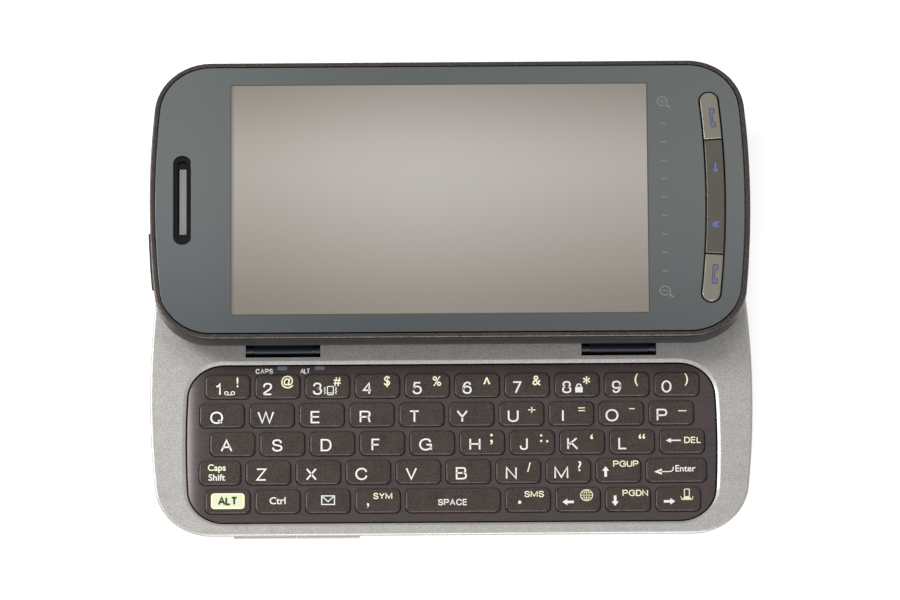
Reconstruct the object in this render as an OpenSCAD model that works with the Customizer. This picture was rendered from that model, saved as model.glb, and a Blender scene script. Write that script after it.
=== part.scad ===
// Slider phone: a base with a five-row keyboard, and a display half that slides
// back over it on a hinged bracket and then tilts up.
// Frame: X along the long sides, +Y towards the back edge, +Z up. The origin is the
// middle of the flat underside of the base. The display half is drawn slid open.

/* [Phone outline] */
// Length over the bowed ends
phone_l = 116; // [114:0.5:122]
// Width over the straight long sides
phone_w = 58.8; // [58.4:0.2:62]
// Radius of the bow of both ends
end_r = 200; // [160:5:320]
// Radius of the four corners
corner_r = 11; // [9.5:0.25:12]

/* [Base] */
// Height of the base from its underside to the keyboard deck
base_h = 9.6; // [9.5:0.1:11]
// How far the flat underside lies inside the widest outline
belly_inset = 8; // [7:0.25:9]
// Height of the seam between the battery cover and the back housing
cover_seam_z = 3; // [2.8:0.1:3]
// Height of the seam between the back housing and the keyboard deck
deck_seam_z = 7; // [6.9:0.05:7.1]
// Thickness of the battery cover
cover_t = 1; // [0.8:0.1:1.1]
// Thickness of the side walls of the base
base_wall = 1.2; // [1:0.1:1.4]
// Thickness of the deck's top plate
deck_t = 1; // [0.8:0.1:1.1]
// Rounding of the deck's outer edge
deck_edge_r = 0.5; // [0.3:0.1:0.8]

/* [Display half] */
// How far the display half slides back from closed
slide_travel = 38.2; // [36:0.1:39]
// Gap between the deck and the display half
slide_gap = 0.3; // [0.25:0.05:0.4]
// Height of the display half
display_h = 7.3; // [7.2:0.1:8.5]
// Thickness of its side walls
display_wall = 1.1; // [0.9:0.1:1.3]
// Thickness of its floor
display_floor = 1; // [0.9:0.05:1.1]
// How far the foot of its side wall is drawn in
taper_inset = 1.85; // [1.5:0.05:2]
// Height of the drawn-in part of the side wall
taper_h = 3.7; // [3:0.1:4]
// Width of the metal trim round the front panel
trim_w = 0.9; // [0.7:0.05:1.2]
// Height of the trim
trim_h = 0.6; // [0.5:0.05:0.8]
// Thickness of the front panel
panel_t = 0.9; // [0.7:0.05:1]
// Border between the screen area and the phone's end with the earpiece
screen_left = 15.85; // [15:0.05:17]
// Border between the screen area and the phone's end with the front keys
screen_right = 19.85; // [19:0.05:21]
// Border between the screen area and the long sides
screen_side = 5; // [4.8:0.1:6]

/* [Keyboard] */
// Space between two keys of a row
key_space = 1; // [0.8:0.05:1.2]
// Space between two rows
row_space = 1; // [0.8:0.05:1.2]
// Corner radius of a key
key_r = 1.1; // [0.6:0.1:1.6]
// Travel of a key
key_travel = 0.3; // [0.2:0.05:0.3]
// Running gap round a key
key_gap = 0.12; // [0.08:0.01:0.16]
// Distance of the keyboard opening from both ends of the phone
board_end = 7.1; // [6.5:0.1:7.6]
// Distance of the keyboard opening from the front edge
board_edge = 2.8; // [2.6:0.1:3.6]
// Distance of the keyboard opening from the open display half
board_clear = 2.3; // [2:0.1:2.6]
// Corner radius of the keyboard opening
board_r = 7; // [5:0.5:8]
// Margin before the first and behind the last row
board_margin = 1.9; // [1.5:0.1:2.1]
// What both margins of the number row take from the opening's length
row_room = 6.8; // [6.4:0.1:7.4]

/* [Hinge and slide] */
// Distance of the middle of each hinge arm from the phone's end
arm_end = 25.65; // [24.5:0.05:27]
// Width of a hinge arm
arm_w = 11.6; // [10:0.2:12]
// Radius of the hinge barrel
barrel_r = 1.05; // [0.95:0.05:1.05]
// Radius of the hinge pin
pin_r = 0.6; // [0.45:0.05:0.7]
// Thickness of the ears that hold the pin
ear_t = 1.2; // [1:0.1:1.4]
// Distance of the bracket plate from both ends of the phone
plate_end = 16; // [15:0.25:18]
// Thickness of the bracket plate
plate_t = 0.8; // [0.7:0.05:0.85]
// Thickness of the lips of the slide rails
rail_lip = 0.3; // [0.25:0.05:0.35]

/* [Fitted pieces] */
// Length of the battery
battery_l = 52; // [46:1:53]
// Thickness of the battery
battery_t = 4.8; // [4.4:0.1:4.85]
// Radius of the stylus shaft
stylus_r = 1.4; // [1.2:0.05:1.45]
// Length of the stylus
stylus_l = 98; // [90:1:99]
// Length of the volume rocker
rocker_l = 24.2; // [20:0.2:26]
// Length of the power button
power_l = 12; // [9:0.5:14]
// Length of the slot for the front keys
keyslot_l = 45.1; // [43:0.1:46]
// Width of the slot for the front keys
keyslot_w = 4; // [3.4:0.1:4.2]
// Distance of the middle of that slot from the phone's end
keyslot_end = 6.7; // [6.4:0.1:7]
// Length of the earpiece slot
earslot_l = 19; // [17:0.25:21]
// Width of the earpiece slot
earslot_w = 3.45; // [3:0.05:3.8]
// Distance of the middle of the earpiece from the phone's end
earslot_end = 6.3; // [6:0.1:7]
// Radius of the camera window
camera_r = 3.2; // [2.8:0.1:3.4]

/* [Hidden] */
$fn = 48;

fit = 0.1;              // gap between fixed pieces that are set into each other
run = 0.05;             // running gap of the slide and the hinge
press_gap = 0.3;        // gap round a button that is pressed or rocks
eps = 0.01;             // how far a cut runs past the face that it opens

// Side profile of the base: the widest line lies just under the deck's rounded edge,
// and the wall curves in from there to the flat underside.
rim_z = base_h - deck_edge_r;
belly_power = 0.55;
function side_inset(z) =
    z <= rim_z ? belly_inset * (1 - pow(z / rim_z, belly_power))
               : deck_edge_r - sqrt(max(0, pow(deck_edge_r, 2) - pow(z - rim_z, 2)));

// Levels of the base
board_z = deck_seam_z - 0.6;         // underside of the main board
board_t = 0.6;
web_t = 0.4;                         // web of the back housing, under the board
web_z = board_z - web_t;
dome_z = board_z + board_t;
dome_t = 0.3;
mat_rim_z = dome_z + dome_t;
mat_t = 0.4;
surround_top = base_h - 0.4;         // the plate between the keys lies this far down
surround_t = 0.35;
key_top = base_h + 0.05;
key_flange_t = 0.2;
key_flange = 0.25;
skirt_t = 0.45;                      // rim under the plate, which stands on the mat
key_bottom = surround_top - surround_t - run - key_flange_t;
mat_top = key_bottom - key_travel - run;

// Levels of the display half
display_z = base_h + slide_gap;
phone_h = display_z + display_h;
trim_top = phone_h - 0.05;
cup_top = trim_top - trim_h;         // rim of the rear cover
panel_z = phone_h - panel_t;
plate_z = display_z + run + rail_lip + run;
recess_top = plate_z + plate_t + run + rail_lip;
ledge_z = panel_z - 0.5;             // underside of the ledge for the front panel
rabbet = 0.5;                        // wall left outside that ledge
roof_t = 0.7;                        // roof of the recess that the bracket slides in
frame_z = recess_top + roof_t;
frame_t = 0.7;
dboard_z = frame_z + frame_t;
dboard_t = 0.6;
lcd_z = dboard_z + dboard_t;
lcd_t = panel_z - fit - lcd_z;

// Screen area, and what lies at the ends of the front panel
screen_l = phone_l - screen_left - screen_right;
screen_w = phone_w - 2 * screen_side;
screen_off = (screen_right - screen_left) / 2;
keyslot_x = phone_l / 2 - keyslot_end;
earslot_x = phone_l / 2 - earslot_end;

// Places of the hinge arms and the bracket plate
arm_x = phone_l / 2 - arm_end;
plate_half = phone_l / 2 - plate_end;

// Ends of the recess in the display half, counted from its middle
foot_half = phone_w / 2 - taper_inset;
recess_front = foot_half - 1.15;
recess_back = foot_half - 0.95;
recess_half = plate_half + 2.4;
stop_gap = 0.2;
plate_front = slide_travel - recess_front + stop_gap;
plate_back = recess_back - stop_gap;

// Hinge: the axis lies in two wells, just under the front edge of the open display half
well_front = slide_travel - phone_w / 2 - 0.1;
hinge_y = well_front + 0.25 + barrel_r;
hinge_z = base_h - barrel_r;
well_gap = 0.2;
well_half = arm_w / 2 + well_gap + ear_t;
well_back = plate_front + 1 + 0.6;
well_floor_z = hinge_z - barrel_r - 0.1;
well_floor_t = well_floor_z - dome_z - run;

// Keyboard: the opening, the pitch of the keys, and the left end of each row
board_l = phone_l - 2 * board_end;
board_front = -phone_w / 2 + board_edge;
board_back = slide_travel - phone_w / 2 - board_clear;
board_y = (board_back + board_front) / 2;
board_w = board_back - board_front;
key_pitch = (board_l - row_room + key_space) / 10;
key_w = key_pitch - key_space;
row_pitch = (board_w - 2 * board_margin + row_space) / 5;
key_d = row_pitch - row_space;
first_row_y = board_back - board_margin;
row_shift = [3.6, 2.5, 4.5, 1.8, 3.6];
shift_cut = 0.6;                     // the shift key starts this much further in
enter_w = key_w + 3;
board_end_r = end_r - 10;
function slot_x(row, slot) = row_shift[row] - board_l / 2 + slot * key_pitch;
function row_y(row) = first_row_y - row * row_pitch - key_d;
// Each key as [row, left side, width]
function plain_key(row, slot) = [row, slot_x(row, slot), key_w];
NUMBER_ROW = [for (slot = [0:9]) plain_key(0, slot)];
TOP_ROW = [for (slot = [0:9]) plain_key(1, slot)];
HOME_ROW = [for (slot = [0:8]) plain_key(2, slot)];
LOW_ROW = [for (slot = [1:7]) plain_key(3, slot)];
DELETE = plain_key(2, 9);
SHIFT = [3, slot_x(3, 0) + shift_cut, key_w - shift_cut];
UP = plain_key(3, 8);
ENTER = [3, slot_x(3, 9), enter_w];
ALT = plain_key(4, 0);
CONTROL = plain_key(4, 1);
MESSAGE = plain_key(4, 2);
COMMA = plain_key(4, 3);
SPACE = [4, slot_x(4, 4), key_pitch + key_w];
PERIOD = plain_key(4, 6);
LEFT = plain_key(4, 7);
DOWN = plain_key(4, 8);
RIGHT = plain_key(4, 9);
ALL_KEYS = concat(NUMBER_ROW, TOP_ROW, HOME_ROW, LOW_ROW,
                  [DELETE, SHIFT, UP, ENTER, ALT, CONTROL, MESSAGE, COMMA, SPACE,
                   PERIOD, LEFT, DOWN, RIGHT]);

// Stylus along the back edge, and the battery between it and the front wall
stylus_y = phone_w / 2 - 6.2;
stylus_z = (cover_seam_z + board_z) / 2;
stylus_head_r = stylus_r + 0.15;
stylus_head_l = 7;
stylus_end = phone_l / 2 - 3.8;      // end of the head, just proud of the corner
stylus_guides = [-30, 38];
guide_t = 3;
bay_wall = 0.8;
bay_gap = 0.2;                       // between the bay and the stylus
battery_w = 2 * (stylus_y - stylus_r - bay_gap - bay_wall - 2 * fit);
battery_x = phone_l / 2 - 20 - battery_l / 2;
battery_z = cover_t + fit;
bay_left = battery_x - battery_l / 2 - fit - bay_wall;
bay_right = battery_x + battery_l / 2 + fit + bay_wall;
bay_half = battery_w / 2 + fit + bay_wall;

// Boards, and what hangs under the main board beside the battery
board_x0 = -phone_l / 2 + 8;
board_x1 = phone_l / 2 - 11;
board_half = phone_w / 2 - 5.2;
open_x0 = board_x0 + 1;              // opening in the web for what hangs down
open_x1 = bay_left - 0.7;
open_half = battery_w / 2 - 0.5;
camera_x = -phone_l / 2 + 14.5;
camera_y = 9.5;
camera_body = 8.5;
speaker_x = -phone_l / 2 + 15;
speaker_y = -9;
speaker_size = 12;
can_x0 = camera_x + camera_body;
can_x1 = open_x1 - 0.6;
can_t = 1.6;
can_gap = 1.2;
can_split = open_half / 2;           // back edge of the card reader, in front of the middle
usb_l = 8.2;
usb_w = 7.6;
usb_h = 3.5;
usb_z = 3.2;
usb_wall = 0.35;
usb_mouth = phone_l / 2 - side_inset(usb_z + usb_h / 2) - 0.2;
rocker_x = -phone_l / 2 + 28.2;
rocker_z = 3.9;
rocker_h = 1.8;
rocker_out = 0.8;                    // how far the rocker stands out of the wall
rocker_depth = 2.8;
pivot_r = 0.3;                       // ridge at the back that a rocker turns on
rocker_back = -phone_w / 2 + side_inset(rocker_z) - rocker_out + rocker_depth;
screw_x = phone_l / 2 - 4.8;
screw_y = 13.5;
screw_r = 0.6;
head_r = 1.15;
head_t = 0.7;
boss_r = 1.5;

// Pieces of the display half
dscrew_x = phone_l / 2 - 9.5;
dscrew_y = phone_w / 2 - 9.6;
power_y = -11.3;
power_z = display_z + 1.1;
power_h = 2.4;
power_out = 0.45;
power_depth = 2.8;
slot_arc = end_r - phone_l / 2 + keyslot_x;   // the slot runs parallel to the bowed end
side_key_l = 10.2;                   // length of the send and the end key
front_key_gap = 0.3;
front_key_proud = 0.3;
front_flange_t = 0.4;
mesh_l = 14;
mesh_w = 1.7;
mesh_pitch = 0.55;
mesh_hole_r = 0.17;

// ---- Outline of the phone, drawn in by inset ----

// As true arcs, for flat pieces. The corner circles are a hair larger than the touching
// ones, so that they cross the bowed ends and the long sides instead of grazing them.
module bowed(half_l, half_w, big, r) {
    cy = half_w - r;
    cx = half_l - big + sqrt(pow(big - r, 2) - cy * cy);
    touch_y = big * cy / (big - r);
    intersection() {
        square([2 * half_l + 2, 2 * half_w], center = true);
        translate([half_l - big, 0]) circle(big, $fn = 720);
        translate([big - half_l, 0]) circle(big, $fn = 720);
        union() {
            square([2 * cx, 2 * half_w + 1], center = true);
            square([2 * half_l + 1, 2 * touch_y], center = true);
            for (sx = [-1, 1], sy = [-1, 1])
                translate([sx * cx, sy * cy]) circle(r + 0.01, $fn = 64);
        }
    }
}
module outline(inset = 0) {
    bowed(phone_l / 2 - inset, phone_w / 2 - inset, end_r - inset, corner_r - inset);
}

// As points, for curved shells
function arc(c, r, from, to, steps) =
    [for (i = [0:steps]) let (a = from + (to - from) * i / steps)
        [c[0] + r * cos(a), c[1] + r * sin(a)]];
function outline_points(inset) =
    let (r = corner_r - inset,
         big = end_r - inset,
         half_l = phone_l / 2 - inset,
         cy = phone_w / 2 - corner_r,
         cx = half_l - big + sqrt(pow(big - r, 2) - cy * cy),
         bow = asin(cy / (big - r)))
    concat(arc([half_l - big, 0], big, -bow, bow, 6),
           arc([cx, cy], r, bow + 6, 90, 7),
           arc([-cx, cy], r, 90, 174 - bow, 7),
           arc([big - half_l, 0], big, 180 - bow, 180 + bow, 6),
           arc([-cx, -cy], r, 186 + bow, 270, 7),
           arc([cx, -cy], r, 270, 354 - bow, 7));

// Solid through the given levels, each as [z, inset]
module stack(levels) {
    rings = [for (level = levels)
        [for (p = outline_points(level[1])) [p[0], p[1], level[0]]]];
    n = len(rings[0]);
    m = len(rings);
    polyhedron(
        [for (ring = rings) each ring],
        concat(
            [[for (i = [0:n - 1]) i]],
            [for (k = [0:m - 2], i = [0:n - 1])
                [k * n + i, (k + 1) * n + i, (k + 1) * n + (i + 1) % n, k * n + (i + 1) % n]],
            [[for (i = [0:n - 1]) m * n - 1 - i]]));
}
module base_band(heights, wall = 0) {
    stack([for (z = heights) [z, side_inset(z) + wall]]);
}
module display_shape(wall = 0, z0 = display_z, z1 = cup_top) {
    knee = display_z + taper_h;
    foot = z0 < knee ? taper_inset * (knee - z0) / taper_h : 0;
    stack([[z0, foot + wall], [knee, wall], [z1, wall]]);
}

// ---- Small helpers ----

module rounded(l, w, r) {
    square([l - 2 * r, w], center = true);
    square([l, w - 2 * r], center = true);
    for (sx = [-1, 1], sy = [-1, 1])
        translate([sx * (l / 2 - r), sy * (w / 2 - r)]) circle(r);
}
module block(x, y, z) {
    translate([x[0], y[0], z[0]])
        cube([x[1] - x[0], y[1] - y[0], z[1] - z[0]]);
}
module rod(r, l) {
    rotate([0, 90, 0]) cylinder(r = r, h = l);
}
module in_display() {
    translate([0, slide_travel, 0]) children();
}
module screw(head_z, length) {
    translate([0, 0, head_z]) cylinder(r = head_r, h = head_t);
    translate([0, 0, head_z + head_t - eps]) cylinder(r = screw_r, h = length + eps);
}
module four(x, y) {
    for (sx = [-1, 1], sy = [-1, 1]) translate([sx * x, sy * y, 0]) children();
}

// ---- Base: shells ----

module battery_cover() {
    color("#3b3a3c") difference() {
        base_band([0, 0.25, 0.9, 1.9, cover_seam_z]);
        base_band([cover_t, cover_t + 0.7, cover_seam_z + 0.5], cover_t);
        translate([camera_x, camera_y, -eps])
            cylinder(r = camera_r + fit, h = cover_t + 2 * eps);
        for (i = [-2:2])
            translate([speaker_x, speaker_y + i * speaker_size / 6.3, -eps])
                linear_extrude(cover_t + 2 * eps) rounded(speaker_size * 2 / 3, 0.9, 0.4);
    }
}

module camera_window() {
    color("#16181c") translate([camera_x, camera_y, 0.25])
        cylinder(r = camera_r, h = cover_t - 0.35);
}

module bay_walls() {
    z = cover_t + 0.3;
    difference() {
        block([bay_left, bay_right], [-bay_half, bay_half], [z, web_z + eps]);
        block([bay_left + bay_wall, bay_right - bay_wall],
              [-bay_half + bay_wall, bay_half - bay_wall], [z - 1, web_z + 1]);
    }
}

module stylus_guide_blocks() {
    intersection() {
        for (x = stylus_guides)
            block([x, x + guide_t], [bay_half - bay_wall / 2, phone_w / 2],
                  [cover_seam_z, web_z + eps]);
        base_band([cover_seam_z, deck_seam_z], base_wall / 2);
    }
}

module rocker_window() {
    translate([rocker_x, -phone_w / 2, rocker_z + rocker_h / 2])
        cube([rocker_l + 2 * press_gap, 12, rocker_h + 0.5], center = true);
}

module back_housing() {
    color("#454344") difference() {
        union() {
            difference() {
                base_band([cover_seam_z, 4.2, 5.6, deck_seam_z]);
                base_band([cover_seam_z - 0.5, 5, deck_seam_z + 0.5], base_wall);
            }
            translate([0, 0, web_z]) linear_extrude(web_t)
                polygon(outline_points(side_inset(web_z) + base_wall / 2));
            bay_walls();
            stylus_guide_blocks();
        }
        block([open_x0, open_x1], [-open_half, open_half], [web_z - eps, web_z + 1]);
        block([board_x1 - eps, phone_l], [-usb_w / 2 - fit, usb_w / 2 + fit],
              [usb_z - fit, usb_z + usb_h + fit]);
        translate([-phone_l / 2, stylus_y, stylus_z])
            rod(stylus_r + fit, phone_l - 6);
        translate([stylus_end - stylus_head_l - press_gap, stylus_y, stylus_z])
            rod(stylus_head_r + fit, stylus_head_l + 6);
        intersection() {
            rocker_window();
            base_band([cover_seam_z + 0.2, deck_seam_z - 0.2], -1);
        }
        four(screw_x, screw_y)
            translate([0, 0, web_z - eps]) cylinder(r = screw_r + fit, h = 1);
    }
}

module deck_opening(inset, z, h) {
    translate([0, board_y, z]) linear_extrude(h)
        bowed(board_l / 2 - inset, board_w / 2 - inset, board_end_r - inset, board_r - inset);
}

module well_shape(wall, z0) {
    block([-well_half - wall, well_half + wall], [well_front - wall, well_back + wall],
          [z0, base_h + 1]);
}

module keyboard_deck() {
    color("#a9a7a4") difference() {
        union() {
            difference() {
                base_band([deck_seam_z, 8, rim_z, base_h - deck_edge_r * 0.4, base_h]);
                base_band([deck_seam_z - 0.5, 8, base_h - deck_t], base_wall);
            }
            intersection() {
                for (s = [-1, 1])
                    translate([s * arm_x, 0, 0])
                        well_shape(0.7, well_floor_z - well_floor_t);
                block([-phone_l, phone_l], [-phone_w, phone_w],
                      [dome_z + run, base_h - deck_t + eps]);
            }
            four(screw_x, screw_y)
                translate([0, 0, web_z + web_t])
                    cylinder(r = boss_r, h = base_h - deck_t / 2 - web_z - web_t);
        }
        deck_opening(0, deck_seam_z - 1, base_h);
        difference() {
            for (s = [-1, 1])
                translate([s * arm_x, 0, 0]) well_shape(0, well_floor_z);
            for (s = [-1, 1], t = [-1, 1])
                translate([s * arm_x + t * (well_half - ear_t / 2), hinge_y, 0])
                    ear();
        }
        for (s = [-1, 1])
            translate([s * arm_x - well_half - 0.4, hinge_y, hinge_z])
                rod(pin_r + 0.02, 2 * well_half + 0.8);
        four(screw_x, screw_y)
            translate([0, 0, web_z]) cylinder(r = screw_r + 0.02, h = 2.6);
    }
}

// Ear at the end of a hinge well
module ear() {
    translate([-ear_t / 2 - eps, 0, hinge_z]) rod(barrel_r - 0.1, ear_t + 2 * eps);
    block([-ear_t / 2 - eps, ear_t / 2 + eps], [-barrel_r + 0.1, barrel_r - 0.1],
          [well_floor_z - 1, hinge_z]);
}

// ---- Base: keyboard ----

module key_outline(key, grow = 0) {
    translate([key[1] + key[2] / 2, row_y(key[0]) + key_d / 2])
        rounded(key[2] + 2 * grow, key_d + 2 * grow, key_r + grow);
}

// A key: a cap with bevelled edges on a thin flange that the plate holds down
key_bevel = 0.22;
module key_cap(key) {
    x0 = key[1];
    x1 = key[1] + key[2];
    y0 = row_y(key[0]);
    y1 = y0 + key_d;
    b = key_bevel;
    z0 = key_bottom;
    intersection() {
        translate([0, 0, z0]) linear_extrude(key_top - z0) key_outline(key);
        translate([0, y0 - 1, 0]) rotate([-90, 0, 0])
            linear_extrude(key_d + 2)
                polygon([[x0 - 1, -z0 + 1], [x0, -key_top + b], [x0 + b, -key_top],
                         [x1 - b, -key_top], [x1, -key_top + b], [x1 + 1, -z0 + 1]]);
        translate([x0 - 1, 0, 0]) rotate([90, 0, 90])
            linear_extrude(x1 - x0 + 2)
                polygon([[y0 - 1, z0 - 1], [y0, key_top - b], [y0 + b, key_top],
                         [y1 - b, key_top], [y1, key_top - b], [y1 + 1, z0 - 1]]);
    }
    translate([0, 0, z0]) linear_extrude(key_flange_t) key_outline(key, key_flange);
}

module keys(list) {
    for (key = list) key_cap(key);
}

module key_surround() {
    color("#50484a") difference() {
        union() {
            deck_opening(fit, surround_top - surround_t, surround_t);
            difference() {
                deck_opening(fit, mat_top, surround_top - mat_top - eps);
                deck_opening(fit + skirt_t, mat_top - eps, surround_top);
            }
        }
        translate([0, 0, surround_top - surround_t - eps])
            linear_extrude(surround_t + 2 * eps)
                for (key = ALL_KEYS) key_outline(key, key_gap);
        for (x = lamp_x)
            translate([x, board_back - fit - lamp_w / 2, mat_top - 1])
                linear_extrude(surround_top) rounded(lamp_l + 0.1, lamp_w + 0.1, lamp_w / 3);
    }
}

// Two lamps over the number row, for capitals lock and alternate lock
lamp_x = [slot_x(0, 1) + 5.2, slot_x(0, 2) + 2.8];
lamp_l = 1.9;
lamp_w = 0.8;
module indicator_lamps() {
    color("#8f979c") for (x = lamp_x)
        translate([x, board_back - fit - lamp_w / 2, mat_top])
            linear_extrude(surround_top - mat_top)
                rounded(lamp_l, lamp_w, lamp_w / 3);
}

module key_mat() {
    color("#2c2b2d") {
        difference() {
            deck_opening(fit, mat_rim_z, mat_top - mat_rim_z);
            deck_opening(1.3, mat_rim_z - eps, mat_top - mat_t - mat_rim_z + eps);
        }
        for (key = ALL_KEYS)
            translate([key[1] + key[2] / 2, row_y(key[0]) + key_d / 2,
                       mat_rim_z + dome_h + run])
                cylinder(r = 0.8, h = mat_top - mat_t / 2 - mat_rim_z - dome_h - run);
    }
}

dome_h = 0.2;
module dome_sheet() {
    color("#c9b26a") {
        deck_opening(fit, dome_z, dome_t);
        for (key = ALL_KEYS)
            translate([key[1] + key[2] / 2, row_y(key[0]) + key_d / 2, dome_z])
                cylinder(r = 1.7, h = dome_t + dome_h);
    }
}

// ---- Base: what it holds ----

module main_board() {
    color("#1f5a3c")
        block([board_x0, board_x1], [-board_half, board_half], [board_z, dome_z]);
}

module shield_cans() {
    color("#b9bcc0") {
        block([can_x0, can_x1], [can_gap, open_half - can_gap], [board_z - can_t, board_z]);
        block([can_x0, can_x1], [-can_split + can_gap, 0], [board_z - can_t, board_z]);
    }
}

module card_reader() {
    t = can_t - 0.1;
    color("#9da1a6") difference() {
        block([can_x0, can_x1], [-open_half + can_gap, -can_split], [board_z - t, board_z]);
        block([can_x0 + 0.5, can_x1 + 1], [-open_half + can_gap + 0.5, -can_split - 0.5],
              [board_z - t + 0.3, board_z - 0.4]);
    }
}

module battery() {
    color("#2f3b46")
        translate([battery_x, 0, battery_z]) linear_extrude(battery_t)
            rounded(battery_l, battery_w, 1);
}

module camera_module() {
    color("#202226") translate([camera_x, camera_y, 0]) {
        translate([0, 0, cover_t + 0.15]) cylinder(r = 2.7, h = 1.2);
        block([-camera_body / 2, camera_body / 2], [-camera_body / 2, camera_body / 2],
              [cover_t + 1.2, board_z]);
    }
}

module rear_speaker() {
    color("#2b2b2d") translate([speaker_x, speaker_y, cover_t + 0.3]) {
        linear_extrude(board_z - cover_t - 0.3) rounded(speaker_size, speaker_size, 1.5);
    }
}

module antenna_carrier() {
    color("#d8d4c8")
        block([bay_right + 0.9, phone_l / 2 - 8.5],
              [-open_half + 0.5, -usb_w / 2 - 2.2], [cover_t + 0.4, web_z]);
}

module vibration_motor() {
    motor_r = 2;
    motor_l = 9;
    motor_x = phone_l / 2 - 12.5;
    motor_y = usb_w / 2 + 2.7;
    color("#8b8d92") {
        translate([motor_x, motor_y, web_z - motor_r]) rotate([-90, 0, 0])
            cylinder(r = motor_r, h = motor_l);
        block([motor_x - motor_r - 0.4, motor_x + motor_r + 0.4],
              [motor_y + 1, motor_y + motor_l / 2 + 1], [web_z - motor_r, web_z]);
    }
}

module usb_socket() {
    x0 = usb_mouth - usb_l;
    mid = usb_z + usb_h / 2;
    color("#a4a7ab") {
        difference() {
            block([x0, usb_mouth], [-usb_w / 2, usb_w / 2], [usb_z, usb_z + usb_h]);
            block([x0 + 1.2, usb_mouth + 1],
                  [-usb_w / 2 + usb_wall, usb_w / 2 - usb_wall],
                  [usb_z + usb_wall, usb_z + usb_h - usb_wall]);
        }
        block([x0 + 1, usb_mouth - 0.8], [-2.4, 2.4], [mid - 0.35, mid + 0.35]);
    }
}

// Rocker in the front wall: it turns a little about the upright line behind its notch
module volume_rocker() {
    z0 = rocker_z;
    z1 = rocker_z + rocker_h;
    y0 = -phone_w / 2 + side_inset(z0) - rocker_out;
    y1 = -phone_w / 2 + side_inset(z1) - rocker_out;
    color("#b9b4a8") difference() {
        translate([rocker_x - rocker_l / 2, 0, 0]) rotate([90, 0, 90])
            linear_extrude(rocker_l)
                polygon([[y0, z0], [rocker_back, z0], [rocker_back, z1],
                         [y1 + 0.15, z1], [y1, z1 - 0.2]]);
        translate([rocker_x, y1 - 0.2, z0 - 1]) rotate([0, 0, 45])
            translate([-0.45, -0.45, 0]) cube([0.9, 0.9, rocker_h + 2]);
    }
    color("#b9b4a8") translate([rocker_x, rocker_back, z0])
        cylinder(r = pivot_r, h = rocker_h);
}

module volume_switch() {
    color("#1f5a3c")
        block([rocker_x - rocker_l / 2 + 3, rocker_x + rocker_l / 2 - 3],
              [rocker_back + 0.35, -bay_half - bay_gap],
              [rocker_z - 0.2, rocker_z + rocker_h + 0.2]);
}

module stylus() {
    tip_l = 5;
    shaft_x = stylus_end - stylus_l + tip_l;
    head_x = stylus_end - stylus_head_l;
    color("#4a494b") translate([0, stylus_y, stylus_z]) {
        translate([shaft_x - tip_l, 0, 0]) rotate([0, 90, 0])
            cylinder(r1 = 0.5, r2 = stylus_r, h = tip_l + eps);
        translate([shaft_x, 0, 0]) rod(stylus_r, head_x - shaft_x + eps);
        translate([head_x, 0, 0]) rod(stylus_head_r, stylus_head_l);
    }
}

module housing_screws() {
    color("#7d7f83") four(screw_x, screw_y) screw(web_z - head_t, 2.1);
}

module hinge_pins() {
    color("#c6c8cb") for (s = [-1, 1])
        translate([s * arm_x - well_half - 0.4 + run, hinge_y, hinge_z])
            rod(pin_r, 2 * well_half + 0.8 - 2 * run);
}

// ---- Bracket between the halves ----

module slide_bracket() {
    step = 1;                        // thickness of the upright step of each arm
    color("#63656a") difference() {
        union() {
            block([-plate_half, plate_half], [plate_front, plate_back],
                  [plate_z, plate_z + plate_t]);
            for (s = [-1, 1]) translate([s * arm_x, 0, 0]) {
                translate([-arm_w / 2, hinge_y, hinge_z]) rod(barrel_r, arm_w);
                block([-arm_w / 2, arm_w / 2], [hinge_y, plate_front + step],
                      [base_h - 0.8, base_h]);
                block([-arm_w / 2, arm_w / 2], [plate_front, plate_front + step],
                      [base_h - 0.8, plate_z + plate_t]);
            }
        }
        for (s = [-1, 1])
            translate([s * arm_x - arm_w / 2 - 1, hinge_y, hinge_z])
                rod(pin_r + run, arm_w + 2);
        translate([0, (plate_front + plate_back) / 2, plate_z - eps])
            linear_extrude(plate_t + 2 * eps)
                rounded(plate_half * 0.7, (plate_back - plate_front) * 0.4, 2);
    }
}

// ---- Display half ----

module display_rear_cover() {
    color("#39383a") in_display() difference() {
        union() {
            difference() {
                display_shape();
                display_shape(display_wall, display_z + display_floor, cup_top + 1);
                translate([0, 0, ledge_z - 0.05]) linear_extrude(5) outline(rabbet);
            }
            block([-recess_half - 1, recess_half + 1], [-recess_front - 1, recess_back + 0.9],
                  [display_z + display_floor - eps, recess_top + roof_t]);
        }
        block([-recess_half, recess_half], [-recess_front, recess_back],
              [display_z - 1, recess_top]);
        four(dscrew_x, dscrew_y) translate([0, 0, display_z - eps]) {
            cylinder(r = head_r + fit, h = head_t + 0.1 + eps);
            cylinder(r = screw_r + fit, h = display_floor + 1);
        }
        intersection() {
            block([-phone_l, 0],
                  [power_y - power_l / 2 - press_gap, power_y + power_l / 2 + press_gap],
                  [power_z - press_gap, power_z + power_h + press_gap]);
            block([-phone_l / 2 - 1, -phone_l / 2 + 5], [-phone_w, phone_w], [0, 30]);
        }
    }
}

// C-shaped rails on both sides of the recess, which hold the edges of the bracket plate
module slide_rails() {
    color("#8d9094") in_display() for (s = [-1, 1]) scale([s, 1, 1])
        translate([0, -recess_front, 0]) rotate([-90, 0, 0])
            linear_extrude(recess_back + recess_front)
                polygon([
                    [recess_half, -(display_z + run)],
                    [plate_half - 1.2, -(display_z + run)],
                    [plate_half - 1.2, -(display_z + run + rail_lip)],
                    [plate_half + run, -(display_z + run + rail_lip)],
                    [plate_half + run, -(plate_z + plate_t + run)],
                    [plate_half - 1.2, -(plate_z + plate_t + run)],
                    [plate_half - 1.2, -recess_top],
                    [recess_half, -recess_top]]);
}

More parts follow.
